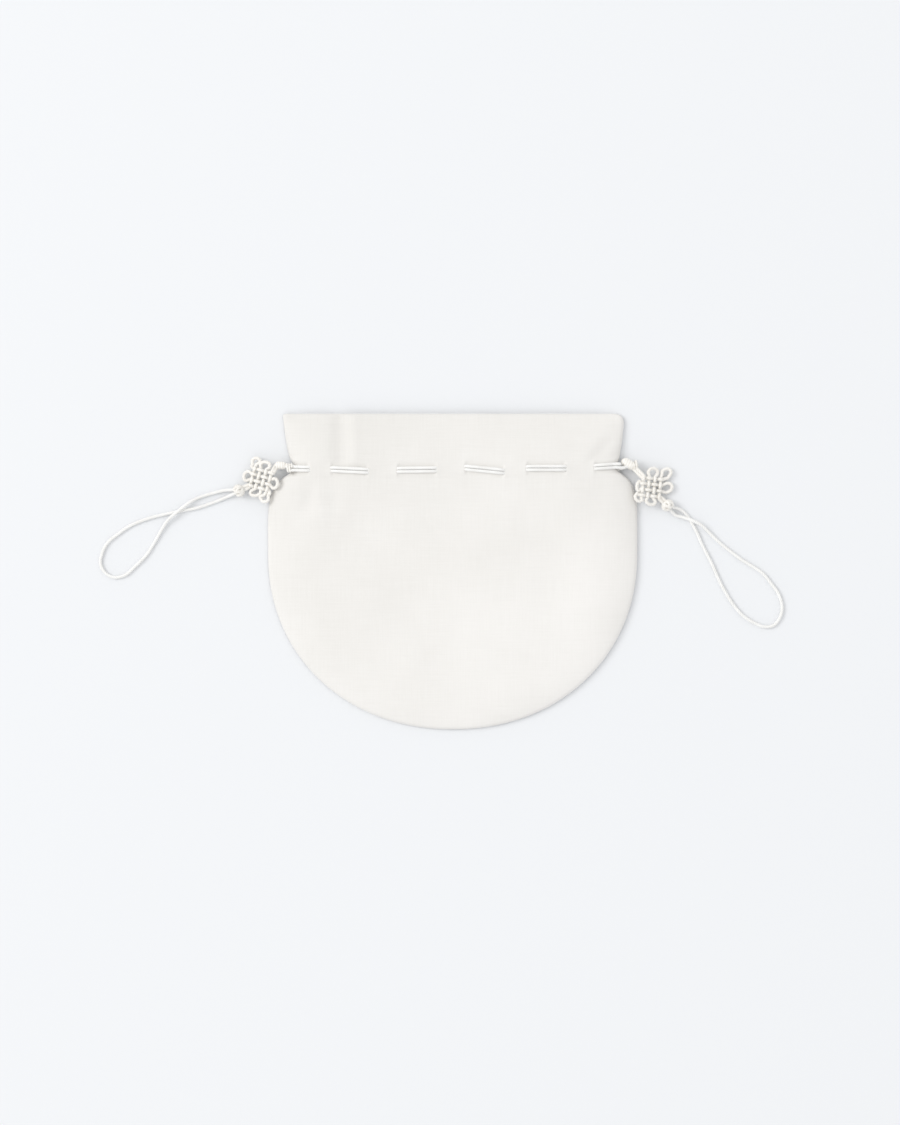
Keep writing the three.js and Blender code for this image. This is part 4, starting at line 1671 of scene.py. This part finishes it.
@dataclass(frozen=True)
class FibreFinish(Finish):
    """Washed fibres: a cloudy tint with painted light and shade laid on it, and a fine relief.

    Attributes:
        name: Name of the material.
        light: Colour of the light fibres, and of the painted light on a cord's crowns and on the linen's right
            and lower parts.
        dark: Colour of the darker fibres, and of the painted shade in a cord's creases and on the linen's left
            and upper parts.
        clouds: Clouds of tint in a metre.
        relief: Height of the relief in metres.
        bump: Strength of the relief.
        gloss: How the fibres take light.
    """

    name: str
    light: tuple[float, float, float, float]
    dark: tuple[float, float, float, float]
    clouds: float
    relief: float
    bump: float
    gloss: Gloss

    def dress(
        self,
        sheet: NodeSheet,
        shader: bpy.types.Node,
        place: bpy.types.NodeSocket,
        painted_light_and_slub_mask: bpy.types.NodeSocket,
        height: bpy.types.NodeSocket,
    ) -> None:
        """Gives a shader the tint, the relief and the gloss.

        Args:
            sheet: Node sheet of the material.
            shader: Its Principled shader.
            place: Where the clouds of tint lie, in metres.
            painted_light_and_slub_mask: What lightens and darkens the tint besides the clouds: painted light
                and shade, with the linen's slubs.
            height: Height of the relief.
        """
        values = {"Vector": place, "Light": self.light, "Dark": self.dark}
        values |= {"Clouds per m": self.clouds, "Extra mask": painted_light_and_slub_mask}
        tint = sheet.add("ShaderNodeGroup", values, node_tree=EffectGroups.cloudy_tint())
        bump = sheet.add("ShaderNodeBump", {"Strength": self.bump, "Distance": self.relief, "Height": height})
        sheet.tree.links.new(tint.outputs["Color"], shader.inputs["Base Color"])
        sheet.tree.links.new(bump.outputs["Normal"], shader.inputs["Normal"])
        self.gloss.put_in(shader)


@dataclass(frozen=True)
class LinenFinish(FibreFinish):
    """Bleached plain-woven linen. Its pattern coordinates are in centimetres.

    Attributes:
        threads: Threads in a centimetre.
        slub: How far the slubs stand out, against a thread's height.
        slub_tint: How much a slub lightens the tint.
        painted_shade_slant: Painted light and shade: how much the tint lightens in a metre to the right, and
            in one towards the bottom.
    """

    name: str = "bleached linen"
    light: tuple[float, float, float, float] = (0.855, 0.837, 0.812, 1)
    dark: tuple[float, float, float, float] = (0.755, 0.737, 0.705, 1)
    clouds: float = 30.0
    relief: float = 0.00005
    bump: float = 0.4
    gloss: Gloss = Gloss(0.88, 0.25, 0.15, 0.5)
    threads: float = 21.0
    slub: float = 0.9
    slub_tint: float = 0.45
    painted_shade_slant: tuple[float, float] = (3.0, 4.0)

    def make(self) -> bpy.types.Material:
        """Weave and slubs as relief, and a tint that the slubs change, with painted light and shade in a faint
        gradient over the pouch: lighter to the right and towards the bottom.

        Returns:
            The material.
        """
        material, sheet, shader = self.start()
        lay = sheet.add("ShaderNodeUVMap", uv_map="lay")
        values = {"Vector": lay.outputs["UV"], "Threads per cm": self.threads, "Slub": self.slub}
        weave = sheet.add("ShaderNodeGroup", values, node_tree=EffectGroups.plain_weave())
        place = sheet.add("ShaderNodeTexCoord").outputs["Object"]
        split = sheet.add("ShaderNodeSeparateXYZ", {0: place})
        # Painted light and shade: the tint lightens to the right and towards the bottom of the pouch; the
        # slubs add their own lighter tone.
        right, up = (sheet.math("MULTIPLY", split.outputs[axis], self.painted_shade_slant[axis]) for axis in (0, 1))
        slubs = sheet.math("MULTIPLY", weave.outputs["Slub mask"], self.slub_tint)
        painted_light_and_slub_mask = sheet.math("ADD", sheet.math("SUBTRACT", right, up), slubs)
        self.dress(sheet, shader, place, painted_light_and_slub_mask, weave.outputs["Height"])
        return material


@dataclass(frozen=True)
class CordFinish(FibreFinish):
    """Twisted ivory cord with fine filaments. Its pattern coordinates count plies passed, and turns.

    Attributes:
        filaments: Filaments counted round each ply.
        slip: Share of the twist that the filaments don't follow.
        filament_height: Height of a filament against that of a ply.
        crown_power: Power that rounds a ply off; a lower one makes its creases narrower.
        painted_crease_shade_level: Height on a ply at which the tint is that of the clouds alone; lower the
            tint darkens as painted shade in the creases between plies, higher it lightens as painted light on
            their crowns.
    """

    name: str = "ivory cord"
    light: tuple[float, float, float, float] = (0.94, 0.938, 0.925, 1)
    dark: tuple[float, float, float, float] = (0.8, 0.785, 0.755, 1)
    clouds: float = 300.0
    relief: float = 0.00003
    bump: float = 0.5
    gloss: Gloss = Gloss(0.55, 0.4, 0.3, 0.35)
    filaments: float = 5.0
    slip: float = 2.4
    filament_height: float = 0.5
    crown_power: float = 0.6
    painted_crease_shade_level: float = 0.6

    def make(self) -> bpy.types.Material:
        """Creases between the plies and filaments along them as relief, and painted shade in the creases with
        painted light on the crowns of the plies as tint.

        Returns:
            The material.
        """
        material, sheet, shader = self.start()
        lay = sheet.add("ShaderNodeUVMap", uv_map="lay")
        split = sheet.add("ShaderNodeSeparateXYZ", {0: lay.outputs["UV"]})
        ply, turns = split.outputs[0], split.outputs[1]
        lobe = sheet.math("ABSOLUTE", sheet.math("COSINE", sheet.math("MULTIPLY", ply, math.pi)))
        crown = sheet.math("POWER", lobe, self.crown_power)
        run = sheet.math("SUBTRACT", ply, sheet.math("MULTIPLY", turns, self.slip))
        filament = sheet.math("SINE", sheet.math("MULTIPLY", run, 2 * math.pi * self.filaments))
        height = sheet.math("ADD", sheet.math("MULTIPLY", filament, self.filament_height), crown)
        place = sheet.add("ShaderNodeTexCoord").outputs["Object"]
        # Tint: painted shade in the creases between the plies and painted light on their crowns.
        self.dress(sheet, shader, place, sheet.math("SUBTRACT", crown, self.painted_crease_shade_level), height)
        return material


@dataclass(frozen=True)
class FloorFinish(Finish):
    """Plain pale surface.

    Attributes:
        name: Name of the material.
        colour: Its colour.
        gloss: How it takes light.
    """

    name: str = "pale surface"
    colour: tuple[float, float, float, float] = (0.80, 0.811, 0.828, 1)
    gloss: Gloss = Gloss(0.9, 0.2)

    def make(self) -> bpy.types.Material:
        """One pale colour, evenly rough.

        Returns:
            The material.
        """
        material, _, shader = self.start()
        shader.inputs["Base Color"].default_value = self.colour
        self.gloss.put_in(shader)
        return material


# Studio


@dataclass(frozen=True)
class SoftLight:
    """A square soft light that looks at the pouch.

    Attributes:
        name: Its name.
        place: Where it stands, in metres.
        size: Its side, in metres.
        watts: Its strength.
        tint: Its colour.
    """

    name: str = "window light"
    place: tuple[float, float, float] = (-2.75, 0.95, 2.65)
    size: float = 1.7
    watts: float = 50
    tint: tuple[float, float, float] = (1.0, 0.998, 0.99)

    def build(self) -> bpy.types.Object:
        """Adds the light to the scene, turned towards the pouch.

        Returns:
            The light.
        """
        data = bpy.data.lights.new(self.name, "AREA")
        data.shape, data.size, data.energy, data.color = "SQUARE", self.size, self.watts, self.tint
        made = bpy.data.objects.new(self.name, data)
        made.location = self.place
        made.rotation_mode = "QUATERNION"
        made.rotation_quaternion = (-Vector(self.place)).to_track_quat("-Z", "Y")
        bpy.context.scene.collection.objects.link(made)
        return made


@dataclass
class Studio:
    """Pale surface, soft light and a camera looking straight down, in millimetres.

    Attributes:
        view_middle: What the middle of the picture looks at.
        view_height: Height of the picture, measured at the focus height.
        camera_height: Height of the camera.
        focus_height: Height over the surface at which the picture is measured.
        sensor: Side of the camera's sensor.
        clip: Nearest and furthest distance seen, in metres.
        floor_size: Side of the square surface.
        floor_drop: How far it lies below the pouch.
        window: The light from the window.
        room_tint: Colour of the room's light.
        room_strength: Its strength.
    """

    view_middle: tuple[float, float] = (-1.0, 3.4)
    view_height: float = 421.9
    camera_height: float = 1400
    focus_height: float = 6
    sensor: float = 36
    clip: tuple[float, float] = (0.01, 20)
    floor_size: float = 3000
    floor_drop: float = 0.02
    window: SoftLight = SoftLight()
    room_tint: tuple[float, float, float, float] = (0.99, 0.995, 1.0, 1)
    room_strength: float = 0.935

    def camera(self) -> bpy.types.Object:
        """Camera straight above, whose long side takes in the picture's height.

        Returns:
            The camera.
        """
        data = bpy.data.cameras.new("camera")
        data.sensor_width = self.sensor
        data.lens = self.sensor * (self.camera_height - self.focus_height) / self.view_height
        data.clip_start, data.clip_end = self.clip
        made = bpy.data.objects.new("camera", data)
        made.location = Vector((self.view_middle[0], self.view_middle[1], self.camera_height)) * MM
        bpy.context.scene.collection.objects.link(made)
        bpy.context.scene.camera = made
        return made

    def floor(self, finish: Finish) -> bpy.types.Object:
        """The surface that the pouch lies on.

        Args:
            finish: Its finish.

        Returns:
            The surface.
        """
        signs = np.array([(-1, -1), (1, -1), (1, 1), (-1, 1)])
        corners = np.column_stack([signs * self.floor_size / 2, np.full(4, -self.floor_drop)])
        made = Skin(corners, np.array([[0, 1, 2, 3]]), np.zeros((1, 4, 2))).to_object("surface")
        finish.put_on(made)
        return made

    def build(self) -> None:
        """Adds the surface, the light and the room's own light, and sets plain colours."""
        self.floor(FloorFinish())
        self.window.build()
        world = bpy.data.worlds.new("soft room")
        world.use_nodes = True
        background = world.node_tree.nodes["Background"]
        background.inputs["Color"].default_value = self.room_tint
        background.inputs["Strength"].default_value = self.room_strength
        bpy.context.scene.world = world
        bpy.context.scene.view_settings.view_transform = "Standard"
        bpy.context.scene.view_settings.look = "None"


# Routes of the loops, counted from the outer knots: across, up, and a height where it doesn't lie flat
LEFT_LOOP = (
    (-1.3, 0.35, 1.9), (-5.6, 0.1, 1.05), (-9, -0.7), (-12.9, -1.8), (-16.4, -3.1, 1.0), (-19.3, -4.9, 1.75),
    (-23.1, -7.9, 2.1), (-26.7, -11, 1.6), (-29, -14.4, 1.0), (-32.1, -19.8), (-35.1, -24.4), (-39.3, -28.6),
    (-42.8, -31.65), (-47, -32.6), (-50.4, -30.9), (-52.2, -27.45), (-51.6, -23.6), (-49.7, -19.8),
    (-46.2, -16.7), (-41.25, -13.3), (-35.9, -11), (-30, -9.3), (-21.4, -7.5), (-15.6, -6.4), (-8.4, -3.9),
    (-5, -2.5, 1.0), (-1.1, -0.8, 1.9),
)
RIGHT_LOOP = (
    (0.5, -1.2, 1.9), (2.9, -3.6, 1.1), (5.5, -4.4, 1.25), (9.4, -5.7, 2.1), (12.9, -7.6, 1.7),
    (15.8, -10.4, 1.0), (19.4, -13.8), (23.7, -17.3), (27.6, -20.2), (31.6, -22.7), (35.9, -25.6),
    (39.15, -29.55), (41.7, -33.1), (43.1, -37.4), (42.7, -41.4), (40.2, -45), (36.6, -45.7), (33, -44.4),
    (28.7, -41.7), (25.1, -37.8), (22.3, -33.5), (19.4, -28.1), (17.25, -23.1), (15.1, -18.8),
    (12.9, -14.5), (11.2, -10.5), (9.3, -6.9), (7.2, -3.6), (4.9, -1.6, 1.0), (1.2, -0.5, 1.9),
)


def main() -> None:
    """Builds the camera, the cords, the cloth and the studio, in that order."""
    logging.basicConfig(level=logging.INFO, format="%(name)s: %(message)s")
    studio = Studio()
    studio.camera()
    form = PouchForm()
    front, back = ClothWall(form, Wall.FRONT), ClothWall(form, Wall.BACK)
    left = CordSide(
        form, front, back, Side.LEFT, (-5.3, 0.6), (-7.3, -4.5), (-8.3, -4.3), LEFT_LOOP,
        side_ears=((2.6, 0.3), (2.7, 0.4), (2.7, 1.3), (2.8, -0.4)),
        corner_tips=((-7.0, 4.2), (7.6, -4.0)),
        barrel_shift=(0.2, 0.7, 0.9), barrel_length=4.6, barrel_radius=1.5, barrel_angle=-4,
        wrap_shift=(3.4, -0.3, 2.9), wrap_turns=2.5,
    )
    right = CordSide(
        form, front, back, Side.RIGHT, (7, 1.3), (6, -8.2), (6.2, -6.8), RIGHT_LOOP,
        side_ears=((2.6, 0.6), (3.2, 0.2), (3.9, -0.8), (1.5, 0.2)),
        corner_tips=((-5.2, 5.2), (6.4, -7.2)),
        barrel_shift=(-2.6, 0.6, 1.0), barrel_length=5.6, barrel_radius=1.8, barrel_angle=-30,
        wrap_shift=(0.2, 0.3, 1.2), wrap_turns=1.6,
    )
    cord, linen = CordFinish(), LinenFinish()
    # The knots take a warmer copy of the cord's finish: painted warm shade, for the shade that they lie in
    # among their own cords.
    knot = CordFinish("ivory knot cord with painted warm shade", light=(0.94, 0.925, 0.89, 1), dark=(0.82, 0.775, 0.71, 1))
    pieces = [piece for side in (left, right) for piece in side.build(cord, knot)]
    pieces += [wall.build(linen) for wall in (front, back)]
    for piece in pieces:
        piece.data.calc_loop_triangles()
        LOG.info("%s has %d triangles", piece.name, len(piece.data.loop_triangles))
    studio.build()


if __name__ == "__main__":
    main()
